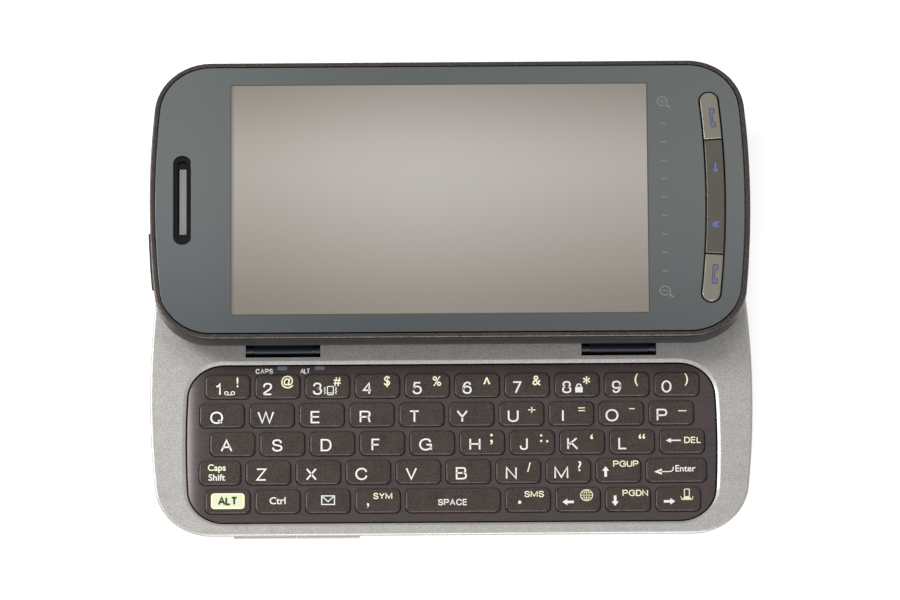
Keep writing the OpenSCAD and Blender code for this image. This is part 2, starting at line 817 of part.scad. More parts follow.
module display_frame() {
    inner = display_wall + 0.2;
    color("#9a9c9f") in_display() difference() {
        union() {
            translate([0, 0, frame_z]) linear_extrude(frame_t)
                outline(inner + taper_inset / 2);
            four(dscrew_x, dscrew_y)
                translate([0, 0, display_z + display_floor])
                    cylinder(r = boss_r, h = frame_z - display_z - display_floor + eps);
        }
        four(dscrew_x, dscrew_y)
            translate([0, 0, display_z]) cylinder(r = screw_r + 0.02, h = 10);
        block([-phone_l / 2, -phone_l / 2 + 6.5], [power_y - 8, power_y + 8],
              [display_z, panel_z]);
    }
}

module display_screws() {
    color("#7d7f83") in_display() four(dscrew_x, dscrew_y)
        screw(display_z + 0.1, frame_z + frame_t - display_z - head_t - 0.2);
}

module display_board() {
    color("#1f5a3c") in_display()
        block([-screen_off - screen_l / 2 + 4, -screen_off + screen_l / 2 - 4],
              [-screen_w / 2 + 4.5, screen_w / 2 - 4.5],
              [dboard_z, dboard_z + dboard_t]);
}

module lcd_panel() {
    border = 1.4;
    color("#8f8a82") in_display() translate([-screen_off, 0, lcd_z])
        linear_extrude(lcd_t)
            square([screen_l + 2 * border, screen_w + 2 * border], center = true);
}

// Strip along the arc of the front keys, between two heights on the phone
module key_strip(y0, y1, grow) {
    intersection() {
        difference() {
            translate([keyslot_x - slot_arc, 0])
                circle(slot_arc + keyslot_w / 2 + grow, $fn = 720);
            translate([keyslot_x - slot_arc, 0])
                circle(slot_arc - keyslot_w / 2 - grow, $fn = 720);
        }
        translate([keyslot_x - 8, y0]) square([12, y1 - y0]);
    }
}
end_y = keyslot_l / 2 - keyslot_w / 2;
function slot_x_at(y) = keyslot_x - slot_arc + sqrt(pow(slot_arc, 2) - y * y);
module key_end(side, grow) {
    translate([slot_x_at(end_y), side * end_y]) circle(keyslot_w / 2 + grow);
}
module front_slot() {
    key_strip(-end_y, end_y, 0);
    key_end(1, 0);
    key_end(-1, 0);
}

module front_panel() {
    color("#65696a") in_display() translate([0, 0, panel_z])
        linear_extrude(panel_t) difference() {
            outline(trim_w + fit);
            front_slot();
            translate([-earslot_x, 0]) rotate(90)
                rounded(earslot_l, earslot_w, earslot_w / 2 - eps);
        }
}

module ring(z, h, outer, inner) {
    difference() {
        translate([0, 0, z]) linear_extrude(h) outline(outer);
        translate([0, 0, z - 1]) linear_extrude(h + 2) outline(inner);
    }
}
// Metal trim: a band round the edge, and a ledge inside it for the front panel
module trim_ring() {
    color("#58504a") in_display() {
        ring(ledge_z, panel_z - ledge_z, rabbet + fit, display_wall + 0.9);
        ring(panel_z, cup_top - panel_z, rabbet + fit, trim_w);
        ring(cup_top, trim_h, 0, trim_w);
    }
}

module earpiece_bezel() {
    color("#1b1b1f") in_display() translate([-earslot_x, 0, 0]) rotate(90) {
        translate([0, 0, panel_z]) linear_extrude(panel_t - 0.25) difference() {
            rounded(earslot_l - 2 * fit, earslot_w - 2 * fit, earslot_w / 2 - fit - eps);
            rounded(earslot_l - 2, earslot_w - 1.3, earslot_w / 2 - 0.65 - eps);
        }
        translate([0, 0, panel_z]) linear_extrude(0.15) difference() {
            rounded(earslot_l - 1.9, earslot_w - 1.2, earslot_w / 2 - 0.6 - eps);
            rounded(mesh_l, mesh_w, 0.3);
        }
    }
}

module earpiece_mesh() {
    rows = floor((mesh_l - 1) / mesh_pitch);
    color("#b4b2aa") in_display() translate([-earslot_x, 0, panel_z - 0.15])
        linear_extrude(0.15) rotate(90) difference() {
            rounded(mesh_l + 1, mesh_w + 0.6, 0.3);
            for (i = [0:rows], j = [-1:1])
                translate([(i - rows / 2) * mesh_pitch + (j == 0 ? 0 : mesh_pitch / 2) - 0.13,
                           j * mesh_pitch * 0.8])
                    circle(mesh_hole_r, $fn = 16);
        }
}

module earpiece_receiver() {
    color("#303236") in_display() translate([-earslot_x, 0, dboard_z])
        linear_extrude(panel_z - 0.15 - dboard_z)
            rotate(90) rounded(mesh_l + 1, 2 * (earslot_end - power_depth - 0.6), 1);
}

// A front key: a cap through the slot, on a flange under the panel
module front_key(y0, y1, z0) {
    translate([0, 0, panel_z - press_gap]) linear_extrude(phone_h + front_key_proud
        - panel_z + press_gap) key_strip(y0, y1, -front_key_gap);
    translate([0, 0, z0])
        linear_extrude(panel_z - press_gap - z0 + eps)
            key_strip(y0, y1, 0.4);
}
flange_z = panel_z - press_gap - front_flange_t;
side_key_y = end_y - side_key_l + keyslot_w / 2;

module side_key(side) {
    in_display() scale([1, side, 1]) {
        front_key(side_key_y, end_y, flange_z);
        translate([0, 0, flange_z]) linear_extrude(phone_h + front_key_proud - flange_z)
            key_end(1, -front_key_gap);
    }
}
module send_key() {
    color("#8f8b7f") side_key(1);
}
module end_key() {
    color("#8f8b7f") side_key(-1);
}
module nav_rocker() {
    half = side_key_y - front_key_gap;
    color("#77726a") in_display() {
        front_key(-half, half, flange_z);
        translate([keyslot_x - keyslot_w / 2, 0, flange_z]) rod(pivot_r - 0.02, keyslot_w);
    }
}

module front_key_board() {
    switch_h = flange_z - press_gap - dboard_z - 0.4;
    color("#1f5a3c") in_display() {
        translate([0, 0, dboard_z]) linear_extrude(0.4 + eps)
            key_strip(-end_y - 1, end_y + 1, 0.6);
        for (y = [-end_y + 3, -7, 0, 7, end_y - 3])
            translate([slot_x_at(y) - 1.5, y - 1.5, dboard_z + 0.4])
                cube([3, 3, switch_h]);
    }
}

module power_button() {
    color("#1d1c20") in_display() intersection() {
        display_shape(-power_out);
        block([-phone_l / 2 - 2, -phone_l / 2 + power_depth],
              [power_y - power_l / 2, power_y + power_l / 2],
              [power_z, power_z + power_h]);
    }
}

module power_switch() {
    x = -phone_l / 2 + power_depth + 0.4;
    color("#1f5a3c") in_display()
        block([x, x + 2.2], [power_y - 3, power_y + 3],
              [display_z + display_floor, power_z + power_h]);
}

// ---- Nodes ----

battery_cover();
camera_window();
back_housing();
keyboard_deck();
key_surround();
key_mat();
dome_sheet();
main_board();
shield_cans();
card_reader();
battery();
camera_module();
rear_speaker();
antenna_carrier();
vibration_motor();
usb_socket();
volume_rocker();
volume_switch();
stylus();
housing_screws();
hinge_pins();
indicator_lamps();
color("#332f30") keys(NUMBER_ROW);  // number_keys
color("#332f30") keys(TOP_ROW);  // top_letter_keys
color("#332f30") keys(HOME_ROW);  // home_letter_keys
color("#332f30") keys(LOW_ROW);  // low_letter_keys
color("#332f30") keys([DELETE]);  // delete_key
color("#332f30") keys([SHIFT]);  // shift_key
color("#332f30") keys([UP]);  // up_key
color("#332f30") keys([ENTER]);  // enter_key
color("#332f30") keys([ALT]);  // alt_key
color("#332f30") keys([CONTROL]);  // control_key
color("#332f30") keys([MESSAGE]);  // message_key
color("#332f30") keys([COMMA]);  // comma_key
color("#332f30") keys([SPACE]);  // space_key
color("#332f30") keys([PERIOD]);  // period_key
color("#332f30") keys([LEFT]);  // left_key
color("#332f30") keys([DOWN]);  // down_key
color("#332f30") keys([RIGHT]);  // right_key
slide_bracket();
display_rear_cover();
slide_rails();
display_frame();
display_board();
lcd_panel();
front_panel();
trim_ring();
earpiece_bezel();
earpiece_mesh();
earpiece_receiver();
send_key();
nav_rocker();
end_key();
front_key_board();
power_button();
power_switch();
display_screws();
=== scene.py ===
"""Looks of the slider phone, in metres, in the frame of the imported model."""
import math

import bmesh
import bpy
from mathutils import Matrix, Vector


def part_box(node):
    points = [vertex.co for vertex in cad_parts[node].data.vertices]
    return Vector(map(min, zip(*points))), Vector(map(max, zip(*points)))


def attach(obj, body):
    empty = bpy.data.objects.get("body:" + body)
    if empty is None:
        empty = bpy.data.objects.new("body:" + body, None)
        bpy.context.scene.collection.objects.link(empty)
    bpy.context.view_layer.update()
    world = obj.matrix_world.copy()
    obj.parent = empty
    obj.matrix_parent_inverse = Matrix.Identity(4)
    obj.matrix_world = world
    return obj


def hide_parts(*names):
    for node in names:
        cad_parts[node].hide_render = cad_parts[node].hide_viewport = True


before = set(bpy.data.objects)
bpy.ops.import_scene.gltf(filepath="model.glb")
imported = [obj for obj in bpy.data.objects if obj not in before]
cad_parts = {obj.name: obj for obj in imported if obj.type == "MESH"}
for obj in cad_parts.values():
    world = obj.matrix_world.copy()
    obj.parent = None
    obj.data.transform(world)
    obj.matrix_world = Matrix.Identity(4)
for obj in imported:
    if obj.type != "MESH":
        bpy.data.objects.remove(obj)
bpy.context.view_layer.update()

# ---- Camera, floor and light ----
# The phone lies flat on a white table and is seen steeply from the front, through a
# long lens. A small lamp stands at the left behind it and a broad soft one in front, in
# an evenly bright room.

VIEW_DOWN = math.radians(65)
VIEW_ROLL = 0.0065
VIEW_FROM = 3.0
LOOK_AT = Vector((-0.00011, 0.02041, 0.009))
LAMP_AIM = Vector((0, 0.01, 0))

MM = 0.001
FLOOR = -0.02 * MM
TABLE_REACH = 3.0
ROOM_LIGHT = 0.28
TABLE_GLOW = 0.6

back = Vector((0, -math.cos(VIEW_DOWN), math.sin(VIEW_DOWN)))
level_up = Vector((0, math.sin(VIEW_DOWN), math.cos(VIEW_DOWN)))
right = math.cos(VIEW_ROLL) * Vector((1, 0, 0)) - math.sin(VIEW_ROLL) * level_up
up = math.sin(VIEW_ROLL) * Vector((1, 0, 0)) + math.cos(VIEW_ROLL) * level_up
camera = bpy.data.objects.new("camera", bpy.data.cameras.new("camera"))
camera.data.lens = 621.6
camera.data.sensor_width = 36
camera.matrix_world = Matrix.Translation(LOOK_AT + VIEW_FROM * back) @ Matrix(
    (right, up, back)).transposed().to_4x4()
bpy.context.scene.collection.objects.link(camera)
bpy.context.scene.camera = camera
bpy.context.scene.view_settings.view_transform = "Standard"


def lamp(name, place, size, power):
    light = bpy.data.lights.new(name, "AREA")
    light.shape = "RECTANGLE"
    light.size, light.size_y = size
    light.energy = power
    holder = bpy.data.objects.new(name, light)
    holder.location = place
    holder.rotation_euler = (Vector(place) - LAMP_AIM).to_track_quat("Z", "Y").to_euler()
    bpy.context.scene.collection.objects.link(holder)


lamp("window_lamp", (-0.3, 0.13, 0.23), (0.15, 0.15), 1.25)
lamp("front_lamp", (0.05, -0.8, 0.48), (0.6, 0.4), 8.0)


def add(tree, kind, inputs=(), **settings):
    """A node with its settings, and with its inputs set to values or linked to sockets."""
    node = tree.nodes.new(kind)
    for name, value in settings.items():
        setattr(node, name, value)
    for key, value in dict(inputs).items():
        if isinstance(value, bpy.types.NodeSocket):
            tree.links.new(value, node.inputs[key])
        else:
            node.inputs[key].default_value = value
    return node


def math_node(tree, operation, first, second=0.0, third=0.0, clamp=False):
    return add(tree, "ShaderNodeMath", enumerate((first, second, third)),
               operation=operation, use_clamp=clamp).outputs[0]


world = bpy.data.worlds.new("white_room")
bpy.context.scene.world = world
world.use_nodes = True
room = world.node_tree
room_light = room.nodes["Background"]
room_light.inputs["Color"].default_value = (1, 1, 1, 1)
room_ray = add(room, "ShaderNodeLightPath").outputs
seen = room_ray["Is Camera Ray"]
for kind in ("Is Glossy Ray", "Is Transmission Ray"):
    seen = math_node(room, "MAXIMUM", seen, room_ray[kind])
brightness = add(room, "ShaderNodeMapRange",
                 {"Value": seen, "To Min": ROOM_LIGHT, "To Max": 1.0})
room.links.new(brightness.outputs["Result"], room_light.inputs["Strength"])

floor = bpy.data.objects.new("floor", bpy.data.meshes.new("floor"))
floor.data.from_pydata([(x * TABLE_REACH, y * TABLE_REACH, FLOOR)
                        for x, y in ((-1, -1), (1, -1), (1, 1), (-1, 1))],
                       [], [(0, 1, 2, 3)])
bpy.context.scene.collection.objects.link(floor)
table = bpy.data.materials.new("white_table")
table.use_nodes = True
wiring = table.node_tree
paper = wiring.nodes["Principled BSDF"]
paper.inputs["Base Color"].default_value = (0.8, 0.8, 0.8, 1)
paper.inputs["Roughness"].default_value = 0.9
table_ray = add(wiring, "ShaderNodeLightPath").outputs
glow_seen = math_node(wiring, "MAXIMUM", table_ray["Is Camera Ray"],
                      table_ray["Is Glossy Ray"])
glow = add(wiring, "ShaderNodeEmission", {
    "Color": (1, 1, 1, 1),
    "Strength": math_node(wiring, "MULTIPLY", glow_seen, TABLE_GLOW)})
both = add(wiring, "ShaderNodeAddShader", {0: paper.outputs[0], 1: glow.outputs[0]})
open_below = add(wiring, "ShaderNodeMixShader", {
    0: add(wiring, "ShaderNodeNewGeometry").outputs["Backfacing"],
    1: both.outputs[0],
    2: add(wiring, "ShaderNodeBsdfTransparent").outputs[0]})
wiring.links.new(open_below.outputs[0], wiring.nodes["Material Output"].inputs["Surface"])
floor.data.materials.append(table)
floor.visible_diffuse = False
floor.visible_shadow = False

# ---- Battery cover ----
# A dark, finely grained plastic tray under the base. It meets the back housing at a seam a
# third of the way up, and has a round hole for the camera and five slots for sound.

OUTLINE = (58.0, 29.4, 200.0, 11.0)  # half length, half width, bow of the ends, corners
COVER_SEAM = 3.0
DECK_SEAM = 7.0
RIM = 9.1
COVER_WALL = 1.0
SEAM_STEP = 0.15
COAT_ROUGHNESS = 0.08
LEVEL = 0.9999
LARGE_FACE = 20 * MM ** 2
CAMERA_AT = (-43.5, 9.5)
CAMERA_R = 3.2
SPEAKER_AT = (-43.0, -9.0)
SLIT_PITCH = 12 / 6.3


def tone(red, green, blue):
    """A colour as it looks on a screen, from 0 to 255."""
    return tuple(((c / 255 + 0.055) / 1.055) ** 2.4 if c > 10 else c / 3294
                 for c in (red, green, blue)) + (1.0,)


def blended(tree, factor, first, second, mode="MIX"):
    return add(tree, "ShaderNodeMix", {0: factor, 6: first, 7: second},
               data_type="RGBA", blend_type=mode).outputs[2]


def pattern_group(name, stretch):
    """Fine noise, drawn out along X by stretch: a shade from 0 to 1, and a height."""
    tree = bpy.data.node_groups.new(name, "ShaderNodeTree")
    for label, kind in (("Place", "NodeSocketVector"), ("Scale", "NodeSocketFloat"),
                        ("Contrast", "NodeSocketFloat")):
        tree.interface.new_socket(label, in_out="INPUT", socket_type=kind)
    for label in ("Shade", "Height"):
        tree.interface.new_socket(label, in_out="OUTPUT", socket_type="NodeSocketFloat")
    given = add(tree, "NodeGroupInput").outputs
    drawn_out = add(tree, "ShaderNodeMapping", {
        "Vector": given["Place"], "Scale": (1 / stretch, 1, 1)}).outputs["Vector"]
    broad_scale = math_node(tree, "MULTIPLY", given["Scale"], 0.07)
    fine, broad = (add(tree, "ShaderNodeTexNoise", {
        "Vector": drawn_out, "Scale": scale, "Detail": detail}).outputs["Fac"]
        for scale, detail in ((given["Scale"], 2.0), (broad_scale, 1.0)))
    mixed = math_node(tree, "MULTIPLY_ADD", broad, 0.12,
                      math_node(tree, "SUBTRACT", fine, 0.56))
    shade = math_node(tree, "MULTIPLY_ADD", mixed, given["Contrast"], 0.5, clamp=True)
    add(tree, "NodeGroupOutput", {"Shade": shade, "Height": fine})
    return tree


GRAIN = pattern_group("fine_grain", 1)
BRUSHED = pattern_group("brushed_lines", 45)


def surface(name, dark, light, roughness, metallic=0.0, pattern=GRAIN, scale=5000.0,
            contrast=2.0, depth=0.0, coat=0.0, uneven=0.0, shine=0.5):
    """A material between two colours, with the pattern also in its bumps and its gloss."""
    material = bpy.data.materials.new(name)
    material.use_nodes = True
    tree = material.node_tree
    shader = tree.nodes["Principled BSDF"].inputs
    for label, value in (("Metallic", metallic), ("Roughness", roughness),
                         ("Specular IOR Level", shine), ("Coat Weight", coat),
                         ("Coat Roughness", COAT_ROUGHNESS)):
        shader[label].default_value = value
    spot = add(tree, "ShaderNodeTexCoord").outputs["Object"]
    flecks = add(tree, "ShaderNodeGroup", {"Place": spot, "Scale": scale,
                                           "Contrast": contrast}, node_tree=pattern).outputs
    tree.links.new(blended(tree, flecks["Shade"], tone(*dark), tone(*light)),
                   shader["Base Color"])
    if uneven:
        tree.links.new(math_node(tree, "MULTIPLY_ADD", flecks["Shade"], uneven,
                                 roughness - uneven / 2), shader["Roughness"])
    if depth:
        bump = add(tree, "ShaderNodeBump", {"Strength": 1.0, "Distance": depth * MM,
                                            "Height": flecks["Height"]})
        tree.links.new(bump.outputs["Normal"], shader["Normal"])
    return material


def arc(x, y, radius, start, end, steps):
    """Points on an arc, with the angles in degrees."""
    angles = [math.radians(start + (end - start) * i / steps) for i in range(steps + 1)]
    return [(x + radius * math.cos(a), y + radius * math.sin(a)) for a in angles]


def bowed_loop(size, inset=0.0):
    """A rounded oblong with slightly bowed ends, drawn in by inset."""
    half_l, half_w, bow_r, corner_r = size
    r, big = corner_r - inset, bow_r - inset
    cy = half_w - corner_r
    cx = half_l - bow_r + math.sqrt((big - r) ** 2 - cy * cy)
    bow = math.degrees(math.asin(cy / (big - r)))
    quarter = (arc(half_l - bow_r, 0, big, 0, bow, 5)
               + arc(cx, cy, r, bow, 90, 12)[1:])
    end = [(x, -y) for x, y in reversed(quarter[1:])] + quarter
    return end + [(-x, -y) for x, y in end]


def oblong_loop(x, y, length, width, r, steps=6):
    """A rounded rectangle round the point x, y."""
    points = []
    for sx, sy, start in ((1, -1, -90), (1, 1, 0), (-1, 1, 90), (-1, -1, 180)):
        points += arc(x + sx * (length / 2 - r), y + sy * (width / 2 - r), r,
                      start, start + 90, steps)
    return points


def shell(name, rings, closed=False):
    """A skin through loops at given heights, with a cap at both ends or closed on itself."""
    n = len(rings[0][0])
    points = [(x * MM, y * MM, z * MM) for loop, z in rings for x, y in loop]
    count = len(rings)
    faces = []
    for k in range(count if closed else count - 1):
        low, high = k * n, (k + 1) % count * n
        faces += [(low + i, low + (i + 1) % n, high + (i + 1) % n, high + i)
                  for i in range(n)]
    if not closed:
        faces += [tuple(reversed(range(n))), tuple(range((count - 1) * n, count * n))]
    mesh = bpy.data.meshes.new(name)
    mesh.from_pydata(points, [], faces)
    made = bpy.data.objects.new(name, mesh)
    bpy.context.scene.collection.objects.link(made)
    outward(mesh)
    return made


def outward(mesh):
    work = bmesh.new()
    work.from_mesh(mesh)
    bmesh.ops.remove_doubles(work, verts=work.verts, dist=1e-7)
    bmesh.ops.recalc_face_normals(work, faces=work.faces)
    work.to_mesh(mesh)
    work.free()


def box(name, low, high):
    """A block between two corners, used to cut or to build up a shell."""
    loop = [(low[0], low[1]), (high[0], low[1]), (high[0], high[1]), (low[0], high[1])]
    return shell(name, [(loop, low[2]), (loop, high[2])])


def shape_with(piece, tools, operation="DIFFERENCE"):
    """Cuts the tools out of a piece, or joins them to it, and leaves a plain mesh."""
    for tool in tools:
        change = piece.modifiers.new("change", "BOOLEAN")
        change.operation = operation
        change.solver = "EXACT"
        change.object = tool
        changed = bpy.data.meshes.new_from_object(
            piece.evaluated_get(bpy.context.evaluated_depsgraph_get()))
        piece.modifiers.remove(change)
        piece.data, old = changed, piece.data
        bpy.data.meshes.remove(old)
        bpy.data.objects.remove(tool)


def place(piece, material, body, slot, nodes=(), sharp=35):
    """Shades a finished piece and sets it on its body, in place of its CAD nodes."""
    piece.data.materials.clear()
    for one in material if isinstance(material, list) else [material]:
        piece.data.materials.append(one)
    piece.data.shade_smooth()
    piece.data.set_sharp_from_angle(angle=math.radians(sharp))
    for face in piece.data.polygons:
        if abs(face.normal.z) > LEVEL and face.area > LARGE_FACE:
            face.use_smooth = False
    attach(piece, body)
    if nodes:
        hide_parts(*nodes)


def side_inset(z):
    """How far the side of the base lies inside its rim at a height."""
    return 8.0 * (1 - (z / RIM) ** 0.55) if z < RIM else 0.0


def base_ring(z, wall=0.0):
    return bowed_loop(OUTLINE, side_inset(z) + wall), z


def copies_tree():
    """Geometry nodes that set copies of a piece in rows and columns."""
    tree = bpy.data.node_groups.new("rows_of_copies", "GeometryNodeTree")
    for label, kind in (("Copy", "NodeSocketObject"), ("Columns", "NodeSocketInt"),
                        ("Rows", "NodeSocketInt"), ("First", "NodeSocketVector"),
                        ("Column Step", "NodeSocketVector"), ("Row Step", "NodeSocketVector"),
                        ("Odd Row Shift", "NodeSocketVector"),
                        ("Material", "NodeSocketMaterial")):
        tree.interface.new_socket(label, in_out="INPUT", socket_type=kind)
    tree.interface.new_socket("Geometry", in_out="OUTPUT", socket_type="NodeSocketGeometry")
    given = add(tree, "NodeGroupInput").outputs
    index = add(tree, "GeometryNodeInputIndex").outputs[0]
    column = math_node(tree, "MODULO", index, given["Columns"])
    row = math_node(tree, "FLOOR", math_node(tree, "DIVIDE", index, given["Columns"]))
    spot = given["First"]
    for step, times in (("Column Step", column), ("Row Step", row),
                        ("Odd Row Shift", math_node(tree, "MODULO", row, 2))):
        part = add(tree, "ShaderNodeVectorMath", {0: given[step], "Scale": times},
                   operation="SCALE")
        spot = add(tree, "ShaderNodeVectorMath", {0: spot, 1: part.outputs[0]}).outputs[0]
    points = add(tree, "GeometryNodePoints", {
        "Count": math_node(tree, "MULTIPLY", given["Columns"], given["Rows"]),
        "Position": spot})
    source = add(tree, "GeometryNodeObjectInfo", {"Object": given["Copy"]})
    spread = add(tree, "GeometryNodeInstanceOnPoints", {
        "Points": points.outputs[0], "Instance": source.outputs["Geometry"]})
    real = add(tree, "GeometryNodeRealizeInstances", {0: spread.outputs[0]})
    painted = add(tree, "GeometryNodeSetMaterial", {
        "Geometry": real.outputs[0], "Material": given["Material"]})
    add(tree, "NodeGroupOutput", {"Geometry": painted.outputs[0]})
    return tree


COPIES = copies_tree()


def rows_of(name, copy, first, columns, column_step, rows=1, row_step=(0, 0, 0),
            shift=(0, 0, 0), material=None):
    """Copies of a piece in rows, as one plain mesh; the piece itself is used up."""
    made = bpy.data.objects.new(name, bpy.data.meshes.new(name))
    bpy.context.scene.collection.objects.link(made)
    modifier = made.modifiers.new("rows", "NODES")
    modifier.node_group = COPIES
    values = {"Copy": copy, "Columns": columns, "Rows": rows, "Material": material}
    for label, step in (("First", first), ("Column Step", column_step),
                        ("Row Step", row_step), ("Odd Row Shift", shift)):
        values[label] = [c * MM for c in step]
    for socket in COPIES.interface.items_tree:
        if socket.in_out == "INPUT" and values[socket.name] is not None:
            modifier[socket.identifier] = values[socket.name]
    result = bpy.data.meshes.new_from_object(
        made.evaluated_get(bpy.context.evaluated_depsgraph_get()))
    made.modifiers.remove(modifier)
    made.data = result
    bpy.data.objects.remove(copy)
    return made


cover_plastic = surface("cover_plastic", (48, 47, 49), (62, 61, 63), 0.55, scale=9000,
                        depth=0.012)
tray = shell("cover_shell",
             [base_ring(z) for z in (0, 0.1, 0.3, 0.6, 1.0, 1.5, 2.1, 2.85)]
             + [base_ring(COVER_SEAM, SEAM_STEP)]
             + [base_ring(z, COVER_WALL) for z in (COVER_SEAM, 2.2, 1.6, COVER_WALL)])
hole = [(arc(*CAMERA_AT, CAMERA_R + 0.1 + g, 0, 352.5, 47), z)
        for z, g in ((-1, 0.35), (0, 0.35), (0.12, 0.1), (0.3, 0), (2, 0))]
slit = shell("slit", [(oblong_loop(0, 0, 8 + 2 * g, 0.9 + 2 * g, 0.42 + g, 4), z)
                      for z, g in ((-1, 0.12), (0, 0.12), (0.15, 0), (2, 0))])
slits = rows_of("slits", slit, (*SPEAKER_AT, 0), 1, (0, 0, 0), 5, (0, SLIT_PITCH, 0))
slits.data.transform(Matrix.Translation((0, -2 * SLIT_PITCH * MM, 0)))
shape_with(tray, [shell("hole", hole), slits])
place(tray, cover_plastic, "cover", "cover_plastic", ["battery_cover"])

# ---- Camera window ----
# A round pane in a thin bright metal ring, glued into the battery cover over the lens. Its
# middle is slightly domed.

ring_metal = surface("ring_metal", (150, 151, 154), (176, 177, 180), 0.25, metallic=0.9)
lens_glass = surface("lens_glass", (7, 8, 14), (12, 13, 22), 0.05, scale=400, shine=0.6)
pane = shell("camera_pane", [(arc(*CAMERA_AT, r, 0, 352.5, 47), z) for r, z in (
    (0.4, 0.36), (0.9, 0.37), (1.4, 0.4), (1.8, 0.44), (2.1, 0.5), (2.24, 0.5), (2.26, 0.42),
    (2.5, 0.27), (2.55, 0.25), (3.1, 0.25), (3.2, 0.35), (3.2, 0.9))])
place(pane, [ring_metal, lens_glass], "cover", "window_glass", ["camera_window"])
for face in pane.data.polygons:
    if (face.center.x / MM - CAMERA_AT[0]) ** 2 + (face.center.y / MM - CAMERA_AT[1]) ** 2 < 5:
        face.material_index = 1

# ---- Back housing ----
# The middle band of the base, moulded in dark plastic. Its web carries the main board,
# and walls under the web make the battery bay. The front keeps a window for the rocker.

STYLUS_AT = (23.2, 4.7)  # back from the middle, and up
BASE_WALL = 1.2
DECK_STEP = 0.12
WEB = (6.0, 6.4)
housing_plastic = surface("housing_plastic", (66, 64, 64), (82, 80, 79), 0.5, scale=9000,
                          depth=0.012)
band = shell("housing_shell",
             [base_ring(COVER_SEAM, SEAM_STEP)]
             + [base_ring(z) for z in (3.15, 3.7, 4.4, 5.1, 5.8, 6.4, 6.9)]
             + [base_ring(DECK_SEAM, DECK_STEP)]
             + [base_ring(z, BASE_WALL) for z in (DECK_SEAM, 6.2, 5.0, 4.0, COVER_SEAM)],
             closed=True)
web = shell("web", [(bowed_loop(OUTLINE, side_inset(WEB[0]) + 0.6), z) for z in WEB])
battery_low, battery_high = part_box("battery")
bay = [c / MM for c in (battery_low.x, battery_high.x, battery_high.y)]
bay_walls = box("bay", (bay[0] - 0.9, -bay[2] - 0.9, 1.3), (bay[1] + 0.9, bay[2] + 0.9, 6.01))
shape_with(bay_walls, [box("bay_inside", (bay[0] - 0.1, -bay[2] - 0.1, 0),
                           (bay[1] + 0.1, bay[2] + 0.1, 7))])
guides = [box("guide", (x, bay[2] + 0.5, COVER_SEAM), (x + 3, 26.0, 6.01)) for x in (-30, 38)]
shape_with(band, [web, bay_walls, *guides], "UNION")


def rod(name, start, length, r, y, z, sides=28):
    """A round bar along X."""
    made = shell(name, [(arc(0, 0, r, 0, 360 - 360 / sides, sides - 1), h)
                        for h in (0, length)])
    made.data.transform(Matrix.Translation((start * MM, y * MM, z * MM))
                        @ Matrix.Rotation(math.pi / 2, 4, "Y"))
    return made


open_x = (-49.0, bay[0] - 1.6)
open_half = bay[2] - 0.5
shape_with(band, [
    box("web_opening", (open_x[0], -open_half, 5.9), (open_x[1], open_half, 7)),
    box("usb_mouth", (47, -3.9, 3.1), (60, 3.9, 6.8)),
    rod("stylus_bore", -58, 110, 1.5, *STYLUS_AT),
    rod("stylus_mouth", 46.9, 13, 1.65, *STYLUS_AT),
    box("rocker_window", (-42.2, -34, 3.65), (-17.4, -24.6, 5.95)),
])
place(band, housing_plastic, "base", "housing_plastic", ["back_housing"])

# ---- Keyboard deck ----
# The silver upper shell of the base, sprayed with a fine metallic paint. It has a bright
# chamfered opening for the keyboard and two wells with ears for the hinge. The inner wall
# round the opening and the walls of the wells are painted near-black, as painted shade of
# the gap round the plate and of the wells.

DECK_TOP = 9.6
OPENING = (50.9, 16.55, 190.0, 7.0)
OPENING_Y = -10.05
WELL_X = 32.35
WELL_HALF = 7.2
WELL_Y = (8.15, 13.6)
WELL_FLOOR = 7.4
WELL_WALL = 0.7
HINGE = (10.0, 8.55)  # back from the middle, and up
EAR_R = 0.95
EAR_HALF = 0.6


def opening_loop(grow):
    return [(x, y + OPENING_Y) for x, y in bowed_loop(OPENING, -grow)]


silver_paint = surface("silver_paint", (146, 143, 140), (184, 181, 177), 0.45, metallic=0.3,
                       scale=4500, contrast=3.4, depth=0.006, uneven=0.1, coat=0.6)
# Near-black paint: the earpiece's black strip, and painted shade in the wells, in the gap round
# the keyboard plate and in the panel's slots.
black_and_painted_shade = surface("black_and_painted_shade", (6, 6, 9), (12, 12, 16), 0.6, shine=0.1)
ear_metal = surface("ear_metal", (16, 18, 25), (26, 28, 36), 0.4, shine=0.25)
edge = [(0.5 - 0.5 * math.cos(math.radians(a)), RIM + 0.5 * math.sin(math.radians(a)))
        for a in (15, 30, 45, 60, 75, 90)]
deck = shell("deck_shell",
             [base_ring(z, BASE_WALL) for z in (8.6, 8.0, 7.5, DECK_SEAM)]
             + [base_ring(DECK_SEAM, DECK_STEP)]
             + [base_ring(z) for z in (7.1, 7.5, 8.0, 8.5, RIM)]
             + [(bowed_loop(OUTLINE, inset), z) for inset, z in edge]
             + [(bowed_loop(OUTLINE, 0.55), DECK_TOP)])
sides = (-1, 1)
shape_with(deck, [box("well_box", (s * WELL_X - WELL_HALF - WELL_WALL, WELL_Y[0] - WELL_WALL,
                                   WELL_FLOOR - 0.05),
                      (s * WELL_X + WELL_HALF + WELL_WALL, WELL_Y[1] + WELL_WALL, 8.7))
                  for s in sides], "UNION")
lip = [(0.0, 9.22), (0.24, 9.24), (0.26, 9.28), (0.8, 9.57), (0.86, 9.59), (0.92, 9.6)]
shape_with(deck, [shell("opening", [(opening_loop(0), 6), *((opening_loop(g), z)
                                                            for g, z in lip),
                                    (opening_loop(0.92), 12)])]
           + [box("well", (s * WELL_X - WELL_HALF, WELL_Y[0], WELL_FLOOR),
                  (s * WELL_X + WELL_HALF, WELL_Y[1], 12)) for s in sides])
outward(deck.data)
place(deck, [silver_paint, black_and_painted_shade], "base", "silver_shell", ["keyboard_deck"])
